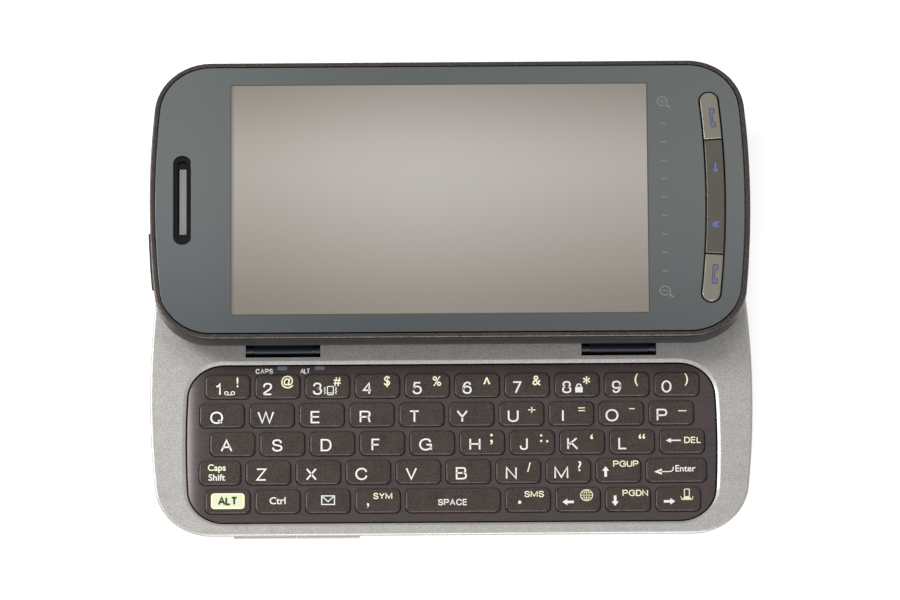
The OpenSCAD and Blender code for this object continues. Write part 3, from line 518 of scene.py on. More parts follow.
# The walls of the wells and the thin wall and ledge round the opening take the near-black
# paint, as painted shade of the wells and of the gap round the plate.
for face in deck.data.polygons:
    x, y, z = (c / MM for c in face.center)
    if WELL_Y[0] - 0.8 < y < WELL_Y[1] + 0.8 and z < DECK_TOP - 0.02 and abs(
            abs(x) - WELL_X) < WELL_HALF + 0.8 and z > 7.2:
        face.material_index = 1
    if abs(x) < 51.3 and abs(y - OPENING_Y) < 16.8 and z < 9.245:
        face.material_index = 1

ear_foot = WELL_FLOOR - 0.03
ear_side = ([(-EAR_R, ear_foot)] + [(-y, z) for y, z in arc(0, HINGE[1], EAR_R, 0, 180, 12)]
            + [(EAR_R, ear_foot)])
ear = shell("ear", [(ear_side, -EAR_HALF), (ear_side, EAR_HALF)])
ear.data.transform(Matrix.Translation((0, HINGE[0] * MM, 0))
                   @ Matrix(((0, 0, 1, 0), (1, 0, 0, 0), (0, 1, 0, 0), (0, 0, 0, 1))))
ears = rows_of("hinge_ears", ear, (-WELL_X - WELL_HALF + EAR_HALF, 0, 0), 2,
               (2 * (WELL_HALF - EAR_HALF), 0, 0), 2, (2 * WELL_X, 0, 0), material=ear_metal)
outward(ears.data)
place(ears, ear_metal, "base", "silver_shell")

# ---- Plate between the keys ----
# A thin brushed metal plate, tinted brown-black, set a little under the deck. Two small
# lamps stand at its back edge, each to the right of a printed word.

PLATE_LEVEL = 47  # half length of the level part
PLATE_ROLL = -45.0
brushed_plate = surface("brushed_plate", (60, 51, 52), (84, 74, 75), 0.32, metallic=0.6,
                        pattern=BRUSHED, scale=14000, contrast=1.8, depth=0.008, uneven=0.12)
lamp_plastic = surface("lamp_plastic", (92, 98, 108), (110, 117, 127), 0.35, coat=0.3)


def dress(node, material):
    """Gives a carried-over CAD node its material."""
    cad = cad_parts[node]
    if not cad.material_slots:
        cad.data.materials.append(material)
    for held in cad.material_slots:
        held.material = material


# The shading of the plate's ends rolls them down a little, so they catch the light.
tree = brushed_plate.node_tree
plate_x = add(tree, "ShaderNodeSeparateXYZ", {
    0: tree.nodes["Texture Coordinate"].outputs["Object"]}).outputs[0]
past = math_node(tree, "SUBTRACT", math_node(tree, "ABSOLUTE", plate_x), PLATE_LEVEL * MM)
past = math_node(tree, "MAXIMUM", past, 0.0)
rolled = add(tree, "ShaderNodeBump", {
    "Strength": 1.0, "Distance": 1.0,
    "Height": math_node(tree, "MULTIPLY", math_node(tree, "MULTIPLY", past, past), PLATE_ROLL)})
tree.links.new(rolled.outputs["Normal"], tree.nodes["Bump"].inputs["Normal"])
dress("key_surround", brushed_plate)
dress("indicator_lamps", lamp_plastic)

# ---- Keycaps ----
# Hard dark plastic caps with softly rounded edges and a brown metallic fleck, one row
# below the other. The rows of like keys are set out at one pitch.

KEY_PITCH = 9.6
KEY_W = 8.6
KEY_D = 5.06
KEY_TOP = 9.65
KEY_FOOT = 8.6
KEY_EDGE = 0.3
KEY_CORNER = 1.15
ROW_PITCH = 6.06
ROW_BACK = 4.6
ROW_LEFT = (-47.3, -48.4, -46.4, -49.1, -47.3)

key_plastic = surface("key_plastic", (22, 18, 19), (78, 66, 59), 0.34, scale=5200,
                      contrast=3.6, depth=0.008, shine=0.3)


def row_front(row):
    return ROW_BACK - ROW_PITCH * row - KEY_D


def keycap(width):
    """One cap, with its left front corner at the origin."""
    rings = [(0.0, KEY_FOOT), (0.0, KEY_TOP - KEY_EDGE)]
    rings += [(KEY_EDGE - KEY_EDGE * math.cos(math.radians(a)),
               KEY_TOP - KEY_EDGE + KEY_EDGE * math.sin(math.radians(a)))
              for a in (22, 45, 67, 90)]
    rings += [(KEY_EDGE + 0.04, KEY_TOP)]
    return shell("keycap", [(oblong_loop(width / 2, KEY_D / 2, width - 2 * g, KEY_D - 2 * g,
                                         KEY_CORNER - g), z) for g, z in rings])


for node, row, first, count in (("number_keys", 0, 0, 10), ("top_letter_keys", 1, 0, 10),
                                ("home_letter_keys", 2, 0, 9), ("low_letter_keys", 3, 1, 7)):
    caps = rows_of(node.replace("keys", "caps"), keycap(KEY_W),
                   (ROW_LEFT[row] + first * KEY_PITCH, row_front(row), 0), count,
                   (KEY_PITCH, 0, 0), material=key_plastic)
    place(caps, key_plastic, node, "key_plastic", [node], sharp=50)

SINGLE_KEYS = (("delete", 2, 9, 0, KEY_W), ("shift", 3, 0, 0.6, KEY_W - 0.6),
               ("up", 3, 8, 0, KEY_W), ("enter", 3, 9, 0, KEY_W + 3), ("alt", 4, 0, 0, KEY_W),
               ("control", 4, 1, 0, KEY_W), ("message", 4, 2, 0, KEY_W),
               ("comma", 4, 3, 0, KEY_W), ("space", 4, 4, 0, KEY_PITCH + KEY_W),
               ("period", 4, 6, 0, KEY_W), ("left", 4, 7, 0, KEY_W), ("down", 4, 8, 0, KEY_W),
               ("right", 4, 9, 0, KEY_W))
for name, row, column, cut, width in SINGLE_KEYS:
    cap = keycap(width)
    cap.name = name + "_cap"
    cap.data.transform(Matrix.Translation((
        (ROW_LEFT[row] + column * KEY_PITCH + cut) * MM, row_front(row) * MM, 0)))
    place(cap, key_plastic, name + "_key", "key_plastic", [name + "_key"], sharp=50)

# A raised dot on the F key, which the finger finds without looking.
dot = shell("finger_bar", [(oblong_loop(ROW_LEFT[2] + 3 * KEY_PITCH + 1.25,
                                        row_front(2) + KEY_D / 2, 0.55 - 2 * g, 0.55 - 2 * g,
                                        0.27 - g, 4), KEY_TOP + h)
                           for g, h in ((0, -0.02), (0.02, 0.05), (0.08, 0.1), (0.16, 0.12))])
place(dot, key_plastic, "home_letter_keys", "key_plastic", sharp=80)

# ---- Legends on the keys ----
# Printed in white, with the second function of a key in cream at its upper right. Plain
# letters, digits, signs and arrows, each a hair's breadth of ink on its own key. The
# letters are drawn as thin lines, from the table of strokes.

INK = 0.006
PLATE_TOP = 9.2
LETTER_HEIGHT = 2.58
WHITE, CREAM, DARK, PALE = 0, 1, 2, 3
inks = [surface("white_ink", (226, 226, 222), (240, 240, 236), 0.5),
        surface("cream_ink", (238, 239, 200), (248, 249, 214), 0.5),
        surface("dark_ink", (34, 34, 30), (44, 44, 38), 0.5),
        surface("pale_ink", (212, 219, 180), (222, 229, 190), 0.5)]


def outline_mesh(curve):
    """The filled outline of a curve as a closed slab, one unit thick."""
    curve.extrude = 0.5
    holder = bpy.data.objects.new("outline", curve)
    bpy.context.scene.collection.objects.link(holder)
    mesh = bpy.data.meshes.new_from_object(
        holder.evaluated_get(bpy.context.evaluated_depsgraph_get()))
    bpy.data.objects.remove(holder)
    return mesh


def letters(text, weight=0.0):
    curve = bpy.data.curves.new("letters", "FONT")
    curve.body = text
    curve.resolution_u = 4
    curve.offset = weight
    return outline_mesh(curve)


def span(mesh, axis):
    values = [v.co[axis] for v in mesh.vertices]
    return min(values), max(values)


CAP_HEIGHT = span(letters("H"), 1)[1]


def word(text, height, x, y, ink=WHITE, on_line=True, weight=0.0, narrow=0.88):
    """A printed word: height is that of a capital, x is its middle."""
    mesh = letters(text, weight)
    size = height / CAP_HEIGHT
    low, high = span(mesh, 0)
    bottom, top = span(mesh, 1)
    middle_y = 0 if on_line else (bottom + top) / 2
    matrix = (Matrix.Translation((x * MM, y * MM, 0))
              @ Matrix.Diagonal((size * narrow * MM, size * MM, 1, 1))
              @ Matrix.Translation((-(low + high) / 2, -middle_y, 0)))
    return mesh, matrix, ink


def sign(loops, x, y, ink=WHITE):
    """A printed sign from closed loops in millimetres; a loop in a loop is a hole."""
    curve = bpy.data.curves.new("sign", "CURVE")
    curve.dimensions = "2D"
    curve.fill_mode = "BOTH"
    for loop in loops:
        line = curve.splines.new("POLY")
        line.points.add(len(loop) - 1)
        for point, (px, py) in zip(line.points, loop):
            point.co = (px, py, 0, 1)
        line.use_cyclic_u = True
    return (outline_mesh(curve), Matrix.Translation((x * MM, y * MM, 0))
            @ Matrix.Diagonal((MM, MM, 1, 1)), ink)


def ribbon(points, width, closed=False):
    """The loops round a line of the given width."""
    left, far = [], []
    for i, (x, y) in enumerate(points):
        ways = []
        for j, k in ((i - 1, i), (i, i + 1)):
            if closed or 0 <= j and k < len(points):
                (ax, ay), (bx, by) = points[j], points[k % len(points)]
                long = math.hypot(bx - ax, by - ay)
                ways.append(((ay - by) / long, (bx - ax) / long))
        nx, ny = sum(w[0] for w in ways), sum(w[1] for w in ways)
        long = math.hypot(nx, ny)
        nx, ny = nx / long, ny / long
        reach = width / 2 / max(0.55, nx * ways[0][0] + ny * ways[0][1])
        left.append((x + nx * reach, y + ny * reach))
        far.append((x - nx * reach, y - ny * reach))
    return [left, far] if closed else [left + far[::-1]]


def turned(loops, degrees):
    c, s = math.cos(math.radians(degrees)), math.sin(math.radians(degrees))
    return [[(x * c - y * s, x * s + y * c) for x, y in loop] for loop in loops]


def printed(name, body, height, marks, materials=None):
    """All the printing of one body at one height, as one piece."""
    work = bmesh.new()
    for mesh, matrix, ink in marks:
        mesh.transform(Matrix.Translation((0, 0, height * MM)) @ matrix
                       @ Matrix.Diagonal((1, 1, 2 * INK * MM, 1)))
        done = len(work.faces)
        work.from_mesh(mesh)
        work.faces.ensure_lookup_table()
        for face in work.faces[done:]:
            face.material_index = ink
        bpy.data.meshes.remove(mesh)
    bmesh.ops.remove_doubles(work, verts=work.verts, dist=1e-6)
    mesh = bpy.data.meshes.new(name)
    work.to_mesh(mesh)
    work.free()
    piece = bpy.data.objects.new(name, mesh)
    bpy.context.scene.collection.objects.link(piece)
    for ink in materials or inks:
        mesh.materials.append(ink)
    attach(piece, body)
    return piece


DRAWN_HEIGHT = 2.55
# Each row: a character and its width at that height, then its strokes, as points on a
# square of ten: | straight, |~ rounded, |o rounded and closed.
STROKES = """
A 2.23 | 0 0 5 10 10 0 | 1.9 3.6 8.1 3.6
B 2.10 | 6 10 0 10 0 0 6 0 | 0 5.3 6 5.3 |~ 6 10 8.4 9.6 9.3 7.7 8.4 5.8 6 5.3
 |~ 6 5.3 9 4.8 10 2.7 9 .5 6 0
C 2.30 |~ 9.8 6.8 8.6 9 5.2 10 1.6 8.6 0 5 1.6 1.4 5.2 0 8.6 1 10 3.4
D 2.06 | 4.2 10 0 10 0 0 4.2 0 |~ 4.2 10 6.8 9.7 9.1 8 10 5 9.1 2 6.8 .3 4.2 0
E 1.83 | 10 10 0 10 0 0 10 0 | 0 5.3 9.4 5.3
F 1.66 | 10 10 0 10 0 0 | 0 5.1 9 5.1
G 2.43 |~ 9.6 7.2 8.2 9.2 5.1 10 1.6 8.6 0 5 1.6 1.4 5.1 0 8.4 1 9.9 2.8
 | 5.8 4.8 10 4.8 10 0
H 2.10 | 0 0 0 10 | 10 0 10 10 | 0 5.2 10 5.2
I 0.40 | 0 0 0 10
J 1.50 | 10 10 10 3 |~ 10 3 9.4 .9 5 0 .6 .9 0 3.4
K 2.10 | 0 0 0 10 | 9.2 10 0 3.4 | 3.2 5.9 10 0
L 1.66 | 0 10 0 0 10 0
M 2.66 | 0 0 0 10 5 .8 10 10 10 0
N 2.10 | 0 0 0 10 10 0 10 10
O 2.46 |o 5 10 8.6 8.6 10 5 8.6 1.4 5 0 1.4 1.4 0 5 1.4 8.6
P 2.00 | 0 0 0 10 6 10 | 0 4.7 6 4.7 |~ 6 10 9 9.5 10 7.35 9 5.2 6 4.7
Q 2.43 |o 5 10 8.6 8.6 10 5 8.6 1.4 5 0 1.4 1.4 0 5 1.4 8.6 | 6.4 2.8 9.7 .1
R 2.10 | 0 0 0 10 6.2 10 | 0 5 6.4 5 |~ 6.2 10 9 9.5 9.8 7.5 9 5.5 6.2 5
 |~ 6.4 5 8.6 4.2 9.2 2.2 10 0
S 2.00
 |~ 9.4 7.2 8.2 9.3 4.9 10 1.5 9.2 .5 7.4 1.7 5.8 5 5.1 8.6 4.3 10 2.6 8.6 .7 5 0 1.4 .8 0 3
T 2.00 | 0 10 10 10 | 5 10 5 0
U 2.06 | 0 10 0 3.6 | 10 10 10 3.6 |~ 0 3.6 1 1.1 5 0 9 1.1 10 3.6
V 2.16 | 0 10 5 0 10 10
W 3.16 | 0 10 2.6 0 5 10 7.4 0 10 10
X 2.06 | 0 10 10 0 | 0 0 10 10
Y 2.16 | 0 10 5 4.4 10 10 | 5 4.4 5 0
Z 2.00 | 0 10 10 10 0 0 10 0
0 1.90 |o 5 10 8.8 8.4 10 5 8.8 1.6 5 0 1.2 1.6 0 5 1.2 8.4
1 1.00 | 0 7.5 6 8 10 10 10 0
2 1.76 |~ .3 6.8 1.4 9.3 5 10 8.7 9.3 9.8 7.3 8.6 5.3 4.5 3.1 1.2 1.5 0 0 | 0 0 10 0
3 1.76 |~ .4 7.4 1.8 9.4 5 10 8.4 9.3 9.2 7.6 8 5.8 4.2 5.4
 |~ 4.2 5.4 8.6 4.8 10 2.8 8.6 .7 5 0 1.2 .8 0 3
4 1.76 | 7.6 0 7.6 10 0 3.2 10 3.2
5 1.76 | 9.2 10 1.8 10 .8 5 |~ .8 5 3 6.3 5.6 6.5 9 5.5 10 3.3 8.7 .9 5 0 1.3 .7 0 2.7
6 1.76 |o 5.2 6.2 8.8 5.4 10 3.1 8.8 .8 5.2 0 1.6 .8 .3 3.1 1.6 5.4
 |~ 9.4 7.8 8.2 9.5 5.4 10 2 8.6 0 4.6 .3 3.1
7 1.76 | 0 10 10 10 3.4 0
8 1.76 |o 5 10 8.3 9.3 9.3 7.6 8.3 5.9 5 5.3 1.7 5.9 .7 7.6 1.7 9.3
 |o 5 5.3 8.8 4.6 10 2.7 8.8 .7 5 0 1.2 .7 0 2.7 1.2 4.6
9 1.76 |o 4.8 3.8 1.2 4.6 0 6.9 1.2 9.2 4.8 10 8.4 9.2 9.7 6.9 8.4 4.6
 |~ .6 2.2 1.8 .5 4.6 0 8 1.4 10 5.4 9.7 6.9
+ 1.60 | 0 5 10 5 | 5 .6 5 9.4
= 1.45 | 0 3.3 10 3.3 | 0 6.7 10 6.7
- 1.25 | 0 5 10 5
_ 1.80 | 0 5 10 5
"""


def smooth_line(points, closed, steps=5):
    """A rounded line through the points."""
    n = len(points)
    line = []
    for i in range(n if closed else n - 1):
        four = [points[(i + k) % n] if closed else points[min(max(i + k, 0), n - 1)]
                for k in (-1, 0, 1, 2)]
        for t in [j / steps for j in range(steps)]:
            shares = ((-t + 2 * t * t - t ** 3) / 2, (2 - 5 * t * t + 3 * t ** 3) / 2,
                      (t + 4 * t * t - 3 * t ** 3) / 2, (t ** 3 - t * t) / 2)
            line.append(tuple(sum(w * p[c] for w, p in zip(shares, four)) for c in (0, 1)))
    return line if closed else line + [points[-1]]


GLYPHS = {}
for row in STROKES.strip().replace("\n |", "|").splitlines():
    head, *strokes = row.split("|")
    lines = []
    for stroke in strokes:
        numbers = [float(v) for v in stroke.strip("~o ").split()]
        points = list(zip(numbers[::2], numbers[1::2]))
        closed = stroke[0] == "o"
        lines.append((smooth_line(points, closed) if stroke[0] in "~o" else points, closed))
    GLYPHS[head.split()[0]] = float(head.split()[1]), lines


def spell(text, height, x, y, ink=WHITE, stroke=0.33, gap=0.14, wide=1.0):
    """A word in thin plain strokes; x is its middle and y its base line."""
    widths = [GLYPHS[c][0] * height / DRAWN_HEIGHT * wide for c in text]
    start = x - (sum(widths) + gap * (len(text) - 1)) / 2
    marks = []
    for c, width in zip(text, widths):
        for line, closed in GLYPHS[c][1]:
            path = [(start + stroke / 2 + px / 10 * (width - stroke),
                     y + stroke / 2 + py / 10 * (height - stroke)) for px, py in line]
            marks.append(sign(ribbon(path, stroke, closed), 0, 0, ink))
        start += width + gap
    return marks


def on_key(row, column, across, up_by):
    return ROW_LEFT[row] + column * KEY_PITCH + across, row_front(row) + up_by


def main_letters(row, first, text, middles, line):
    return [mark for i, c in enumerate(text)
            for mark in spell(c, LETTER_HEIGHT, *on_key(row, first + i, middles[i], line))]


def second_marks(row, marks):
    """The cream marks at the upper right: column, text, middle, depth, height."""
    made = []
    for column, text, across, down, height in marks:
        x, y = on_key(row, column, across, KEY_D - down)
        if text in GLYPHS:
            made += spell(text, height, x, y - height / 2, CREAM, 0.2,
                          wide=DRAWN_HEIGHT / height)
        else:
            made.append(word(text, height, x, y, CREAM, False, weight=0.012))
    return made


ARROW = [[(-1.1, 0), (-0.15, 0.68), (-0.15, 0.26), (1.1, 0.26), (1.1, -0.26), (-0.15, -0.26),
          (-0.15, -0.68)]]
tape = [ribbon(arc(x, 0.34, 0.34, 0, 337.5, 15), 0.17, True) for x in (-0.62, 0.62)]
buzz = [[(s * 0.98, 0.75), (s * 1.18, 0.45), (s * 0.98, 0.15), (s * 1.18, -0.15),
         (s * 0.98, -0.45), (s * 1.18, -0.75)] for s in sides]
digits = main_letters(0, 0, "1234567890", [2.45] + [2.35] * 9, 0.62)
digits += second_marks(0, [(i, c, 6.17, 1.7, h) for i, (c, h) in enumerate(zip(
    "!@#$%^&*()", (2.0, 1.9, 1.75, 1.95, 1.95, 2.4, 2.0, 2.5, 1.9, 1.9)))])
digits += [sign(loops, *on_key(0, 0, 4.65, 0.75)) for loops in tape]
digits += [sign(loops, *on_key(0, column, across, up_by)) for loops, column, across, up_by in (
    (ribbon([(-0.62, 0.0), (0.62, 0.0)], 0.16), 0, 4.65, 0.72),
    (ribbon(oblong_loop(0, 0, 1.15, 1.75, 0.2, 2), 0.19, True), 2, 4.85, 1.5),
    (ribbon([(-0.5, -0.5), (0.5, -0.5)], 0.16), 2, 4.85, 1.5),
    *((ribbon(zigzag, 0.15), 2, 4.85, 1.5) for zigzag in buzz),
    ([[(-0.72, -0.95), (0.72, -0.95), (0.72, 0.2), (-0.72, 0.2)]], 7, 4.7, 1.72),
    (ribbon([(-0.42, 0.15)] + arc(0, 0.4, 0.42, 180, 0, 8) + [(0.42, 0.15)], 0.24), 7, 4.7,
     1.72))]
printed("number_legends", "number_keys", KEY_TOP, digits)
printed("top_letter_legends", "top_letter_keys", KEY_TOP,
        main_letters(1, 0, "QWERTYUIOP",
                     (3.26, 3.13, 3.06, 3.03, 2.9, 2.5, 2.7, 2.7, 2.5, 2.5), 0.66)
        + second_marks(1, [(6, "+", 6.28, 1.87, 1.6), (7, "=", 6.28, 1.8, 1.9),
                           (8, "-", 6.35, 1.75, 1.9), (9, "_", 6.45, 2.25, 1.9)]))
printed("home_letter_legends", "home_letter_keys", KEY_TOP,
        main_letters(2, 0, "ASDFGHJKL", (3.16, 3.3, 3.1, 3.06, 3.0, 2.9, 2.7, 2.5, 2.5), 0.8)
        + second_marks(2, [(5, ";", 6.1, 1.95, 2.6), (6, ":", 6.05, 1.8, 2.3),
                           (6, ".", 7.2, 2.45, 2.3), (7, "‘", 6.15, 1.55, 2.6),
                           (8, "“", 6.2, 1.55, 2.6)]))
printed("low_letter_legends", "low_letter_keys", KEY_TOP,
        main_letters(3, 1, "ZXCVBNM", [2.95] * 7, 0.73)
        + second_marks(3, [(6, "/", 6.35, 1.83, 1.9), (7, "?", 6.5, 1.7, 2.0)]))


def small_word(text, row, column, across, up_by, ink=WHITE, height=1.3, narrow=0.88):
    return word(text, height, *on_key(row, column, across, up_by), ink, weight=0.014,
                narrow=narrow)


def small_caps(text, row, column, across, up_by, ink=CREAM, wide=1.0):
    return spell(text, 1.33, *on_key(row, column, across, up_by), ink, stroke=0.21, wide=wide)


def small_sign(loops, row, column, across, up_by, ink=WHITE):
    return sign(loops, *on_key(row, column, across, up_by), ink)


hook = [(1.75, 1.0), (1.75, 0.6), (1.62, 0.22), (1.3, 0.04), (0.9, 0), (-1.0, 0)]
envelope = ribbon([(-1.22, -0.9), (1.22, -0.9), (1.22, 0.9), (-1.22, 0.9)], 0.22, True)
globe = [ribbon(arc(0, 0, 1.15, 0, 345, 23), 0.16, True),
         ribbon([(0, -1.1), (0, 1.1)], 0.11), ribbon([(-1.1, 0), (1.1, 0)], 0.11)]
globe += [ribbon([(s * 0.52 * math.cos(t), 1.1 * math.sin(t)) for t in
                  (-1.4, -0.9, -0.45, 0, 0.45, 0.9, 1.4)], 0.1) for s in sides]
globe += [ribbon([(-0.96, s * 0.55), (0.96, s * 0.55)], 0.1) for s in sides]
handset = [ribbon(oblong_loop(0, 0.3, 0.95, 1.6, 0.15, 2), 0.17, True),
           [[(-0.62, -0.62), (0.62, -0.62), (0.85, -0.98), (-0.85, -0.98)]],
           ribbon([(-1.2, -0.45), (-0.95, -1.12), (0.95, -1.12), (1.2, -0.45)], 0.13)]
for key, what, layer, marks in (
        ("delete", "legend", 0, [
            small_sign([[(-1.46, 0), (-0.45, 0.5), (-0.45, 0.14), (1.46, 0.14), (1.46, -0.14),
                         (-0.45, -0.14), (-0.45, -0.5)]], 2, 9, 2.63, 2.62),
            *small_caps("DEL", 2, 9, 6.36, 2.02, wide=1.03)]),
        ("shift", "legend", 0, [small_word("Caps", 3, 0, 4.0, 2.9, CREAM, narrow=0.92),
                                small_word("Shift", 3, 0, 4.0, 0.82, narrow=0.96)]),
        ("up", "legend", 0, [small_sign(turned(ARROW, -90), 3, 8, 1.86, 2.2),
                             *small_caps("PGUP", 3, 8, 5.75, 3.15)]),
        ("enter", "legend", 0, [
            small_sign(ribbon(hook, 0.2), 3, 9, 3.5, 2.1),
            small_sign([[(-1.95, 0), (-0.45, 0.66), (-0.45, -0.66)]], 3, 9, 3.5, 2.1),
            small_word("Enter", 3, 9, 7.6, 2.12, narrow=0.94)]),
        ("alt", "legend", 0, [
            small_sign([oblong_loop(0, 0, 6.45, 3.3, 0.65, 4)], 4, 0, 4.3, 2.53, CREAM)]),
        ("alt", "field", 1, [
            small_sign([oblong_loop(0, 0, 5.8, 2.7, 0.4, 4)], 4, 0, 4.3, 2.53, PALE)]),
        ("alt", "word", 2, spell("ALT", 1.82, *on_key(4, 0, 4.3, 1.63), DARK, 0.4, -0.08,
                                 0.95)),
        ("control", "legend", 0, [small_word("Ctrl", 4, 1, 4.26, 1.85, height=1.4,
                                             narrow=0.95)]),
        ("message", "legend", 0, [
            small_sign(envelope, 4, 2, 4.35, 2.6),
            small_sign(ribbon([(-1.12, 0.8), (0, -0.3), (1.12, 0.8)], 0.2), 4, 2, 4.35, 2.6)]),
        ("comma", "legend", 0, [word(",", 2.7, *on_key(4, 3, 2.4, 1.45)),
                                *small_caps("SYM", 4, 3, 5.25, 2.75, wide=0.95)]),
        ("space", "legend", 0, small_caps("SPACE", 4, 4, 9.05, 1.35, WHITE, wide=0.94)),
        ("period", "legend", 0, [word(".", 2.7, *on_key(4, 6, 2.7, 1.7), weight=0.03),
                                 *small_caps("SMS", 4, 6, 5.5, 2.95)]),
        ("left", "legend", 0, [
            small_sign(ARROW, 4, 7, 2.4, 1.9),
            *(small_sign(loops, 4, 7, 5.95, 3.3, CREAM) for loops in globe)]),
        ("down", "legend", 0, [small_sign(turned(ARROW, 90), 4, 8, 1.83, 2.1),
                               *small_caps("PGDN", 4, 8, 5.7, 3.05)]),
        ("right", "legend", 0, [
            small_sign(turned(ARROW, 180), 4, 9, 2.66, 1.9),
            *(small_sign(loops, 4, 9, 6.0, 3.35, CREAM) for loops in handset)])):
    printed(key + "_" + what, key + "_key", KEY_TOP + layer * INK, marks)
printed("lamp_words", "base", PLATE_TOP,
        spell("CAPS", 1.08, -35.98, 4.86, stroke=0.2, gap=0.1, wide=0.84)
        + spell("ALT", 1.08, -28.1, 4.86, stroke=0.2, gap=-0.08, wide=0.82))

# ---- Hinge and slide ----
# The bracket is a folded steel sheet, painted blue-black. Two arms turn on steel pins in
# the deck's wells, and its plate runs in bare steel rails under the display half.

for node, material in (
        ("slide_bracket", surface("bracket_paint", (12, 14, 23), (20, 22, 32), 0.42,
                                  depth=0.008, shine=0.2)),
        ("hinge_pins", surface("pin_steel", (58, 60, 67), (78, 80, 87), 0.35,
                               metallic=1.0)),
        ("slide_rails", surface("rail_steel", (140, 143, 147), (168, 171, 174), 0.3,
                                metallic=1.0, pattern=BRUSHED, scale=6000))):
    dress(node, material)

# ---- Case of the display half ----
# A dark satin shell with a drawn-in foot. Its underside has the shallow recess that the
# bracket slides in, and four screws; the left end has a window for the power button.

SLID = 38.2
DISPLAY_SCREWS = (48.5, 19.8)
case_plastic = surface("case_plastic", (34, 33, 36), (48, 47, 49), 0.38, scale=9000,
                       depth=0.008, shine=0.3)


def display_ring(inset, z):
    return [(x, y + SLID) for x, y in bowed_loop(OUTLINE, inset)], z


case = shell("display_case", [display_ring(*at) for at in (
    (2.15, 9.9), (1.93, 9.94), (1.76, 10.1), (1.5, 10.6), (1.1, 11.4), (0.72, 12.15),
    (0.38, 12.85), (0.15, 13.45), (0.04, 13.95), (0, 14.5), (0, 16.2), (0.06, 16.28),
    (0.3, 16.3), (0.3, 16.55), (0.5, 16.55), (0.5, 15.75), (1.1, 15.75), (1.1, 13.6),
    (2.45, 10.9))])
shape_with(case, [box("recess_walls", (-45.4, SLID - 27.4, 10.89),
                      (45.4, SLID + 27.5, 12.15))], "UNION")
pockets = [shell("pocket", [(arc(sx * DISPLAY_SCREWS[0], SLID + sy * DISPLAY_SCREWS[1],
                                 r, 0, 345, 23), z)
                            for r, z in ((1.4, 9.0), (1.4, 9.9), (1.25, 10.02), (1.25, 10.7),
                                         (0.7, 10.7), (0.7, 11.9))])
           for sx in sides for sy in sides]
shape_with(case, [box("recess", (-44.4, SLID - 26.4, 9), (44.4, SLID + 26.6, 11.45)),
                  box("power_window", (-60, SLID - 17.6, 10.7), (-53, SLID - 5.0, 13.7)),
                  *pockets])
place(case, case_plastic, "display", "case_plastic", ["display_rear_cover"])
dress("power_button", surface("power_plastic", (26, 25, 29), (38, 37, 41), 0.25, coat=0.4))

# ---- Screws ----
# Small steel screws with a cross recess, driven from below: four in the display case and
# four through the web of the base.

HOUSING_SCREWS = (53.2, 13.5)
screw_steel = surface("screw_steel", (112, 114, 118), (140, 142, 146), 0.32, metallic=1.0)


def screw():
    made = shell("screw", [(arc(0, 0, r, 0, 345, 23), z) for r, z in (
        (0.95, 0), (1.1, 0.08), (1.15, 0.2), (1.15, 0.7), (0.6, 0.7), (0.6, 2.5),
        (0.35, 2.75))])
    shape_with(made, [box("slot", (-0.6, -0.13, -1), (0.6, 0.13, 0.4)),
                      box("slot", (-0.13, -0.6, -1), (0.13, 0.6, 0.4))])
    return made


for name, (half_x, half_y), middle, head, body in (
        ("display_screw_set", DISPLAY_SCREWS, SLID, 10.0, "display"),
        ("housing_screw_set", HOUSING_SCREWS, 0, 5.3, "base")):
    screws = rows_of(name, screw(), (-half_x, middle - half_y, head), 2,
                     (2 * half_x, 0, 0), 2, (0, 2 * half_y, 0), material=screw_steel)
    place(screws, screw_steel, body, "screw_steel", [name.replace("_screw_set", "_screws")])

# ---- Trim round the front ----
# A bronze-tinted metal band with a rounded outer edge. A ledge inside it carries the
# front panel.

trim_bronze = surface("trim_bronze", (42, 38, 36), (88, 81, 76), 0.34, metallic=0.8,
                      scale=5000, contrast=3.0, depth=0.006)
trim = shell("trim_band", [display_ring(*at) for at in (
    (0, 16.55), (0, 16.93), (0.05, 17.04), (0.13, 17.12), (0.24, 17.15), (0.78, 17.15),
    (0.86, 17.12), (0.9, 17.05), (0.9, 16.3), (2.0, 16.3), (2.0, 15.8), (0.6, 15.8),
    (0.6, 16.55))], closed=True)
place(trim, trim_bronze, "display", "trim_bronze", ["trim_ring"])

# ---- Front panel ----
# One glossy sheet over the whole front, printed blue-grey from behind except over the
# grey-brown screen. Both colours are painted lighter and darker in broad bands across and
# along the sheet, as a painted reflection of the room and lamps. It has an arched slot for
# the front keys and one for the earpiece.

PANEL = (16.3, 17.2)
SLOT_R = 193.3
SLOT_HALF = 2
SLOT_MID = 51.3 - SLOT_R
SLOT_END = 20.55
SLOT_TURN = math.degrees(math.asin(SLOT_END / SLOT_R))
EAR_X = -51.7
SCREEN = (-42.15, 38.15, 24.4)


def slot_end(g):
    """The round end of the front keys' slot, drawn in by g."""
    x = SLOT_MID + math.sqrt(SLOT_R ** 2 - SLOT_END ** 2)
    return arc(x, SLOT_END, SLOT_HALF - g, SLOT_TURN, SLOT_TURN + 180, 12)


def slot_loop(g):
    head = slot_end(g)
    outer = arc(SLOT_MID, 0, SLOT_R + SLOT_HALF - g, -SLOT_TURN, SLOT_TURN, 14)[1:-1]
    inner = arc(SLOT_MID, 0, SLOT_R - SLOT_HALF + g, SLOT_TURN, -SLOT_TURN, 14)[1:-1]
    tail = [(x, -y) for x, y in reversed(head)]
    return [(x, y + SLID) for x, y in outer + head + inner + tail]


def round_the_edge(loop):
    """Rings of a cutter that leaves a small rounded edge at the top of a slot."""
    low, high = PANEL
    return [(loop(0), low - 1), (loop(0), high - 0.05), (loop(-0.02), high - 0.01),
            (loop(-0.05), high), (loop(-0.05), high + 1)]


def earpiece_loop(g):
    return oblong_loop(EAR_X, SLID, 3.45 - 2 * g, 19 - 2 * g, 1.7 - g, 8)


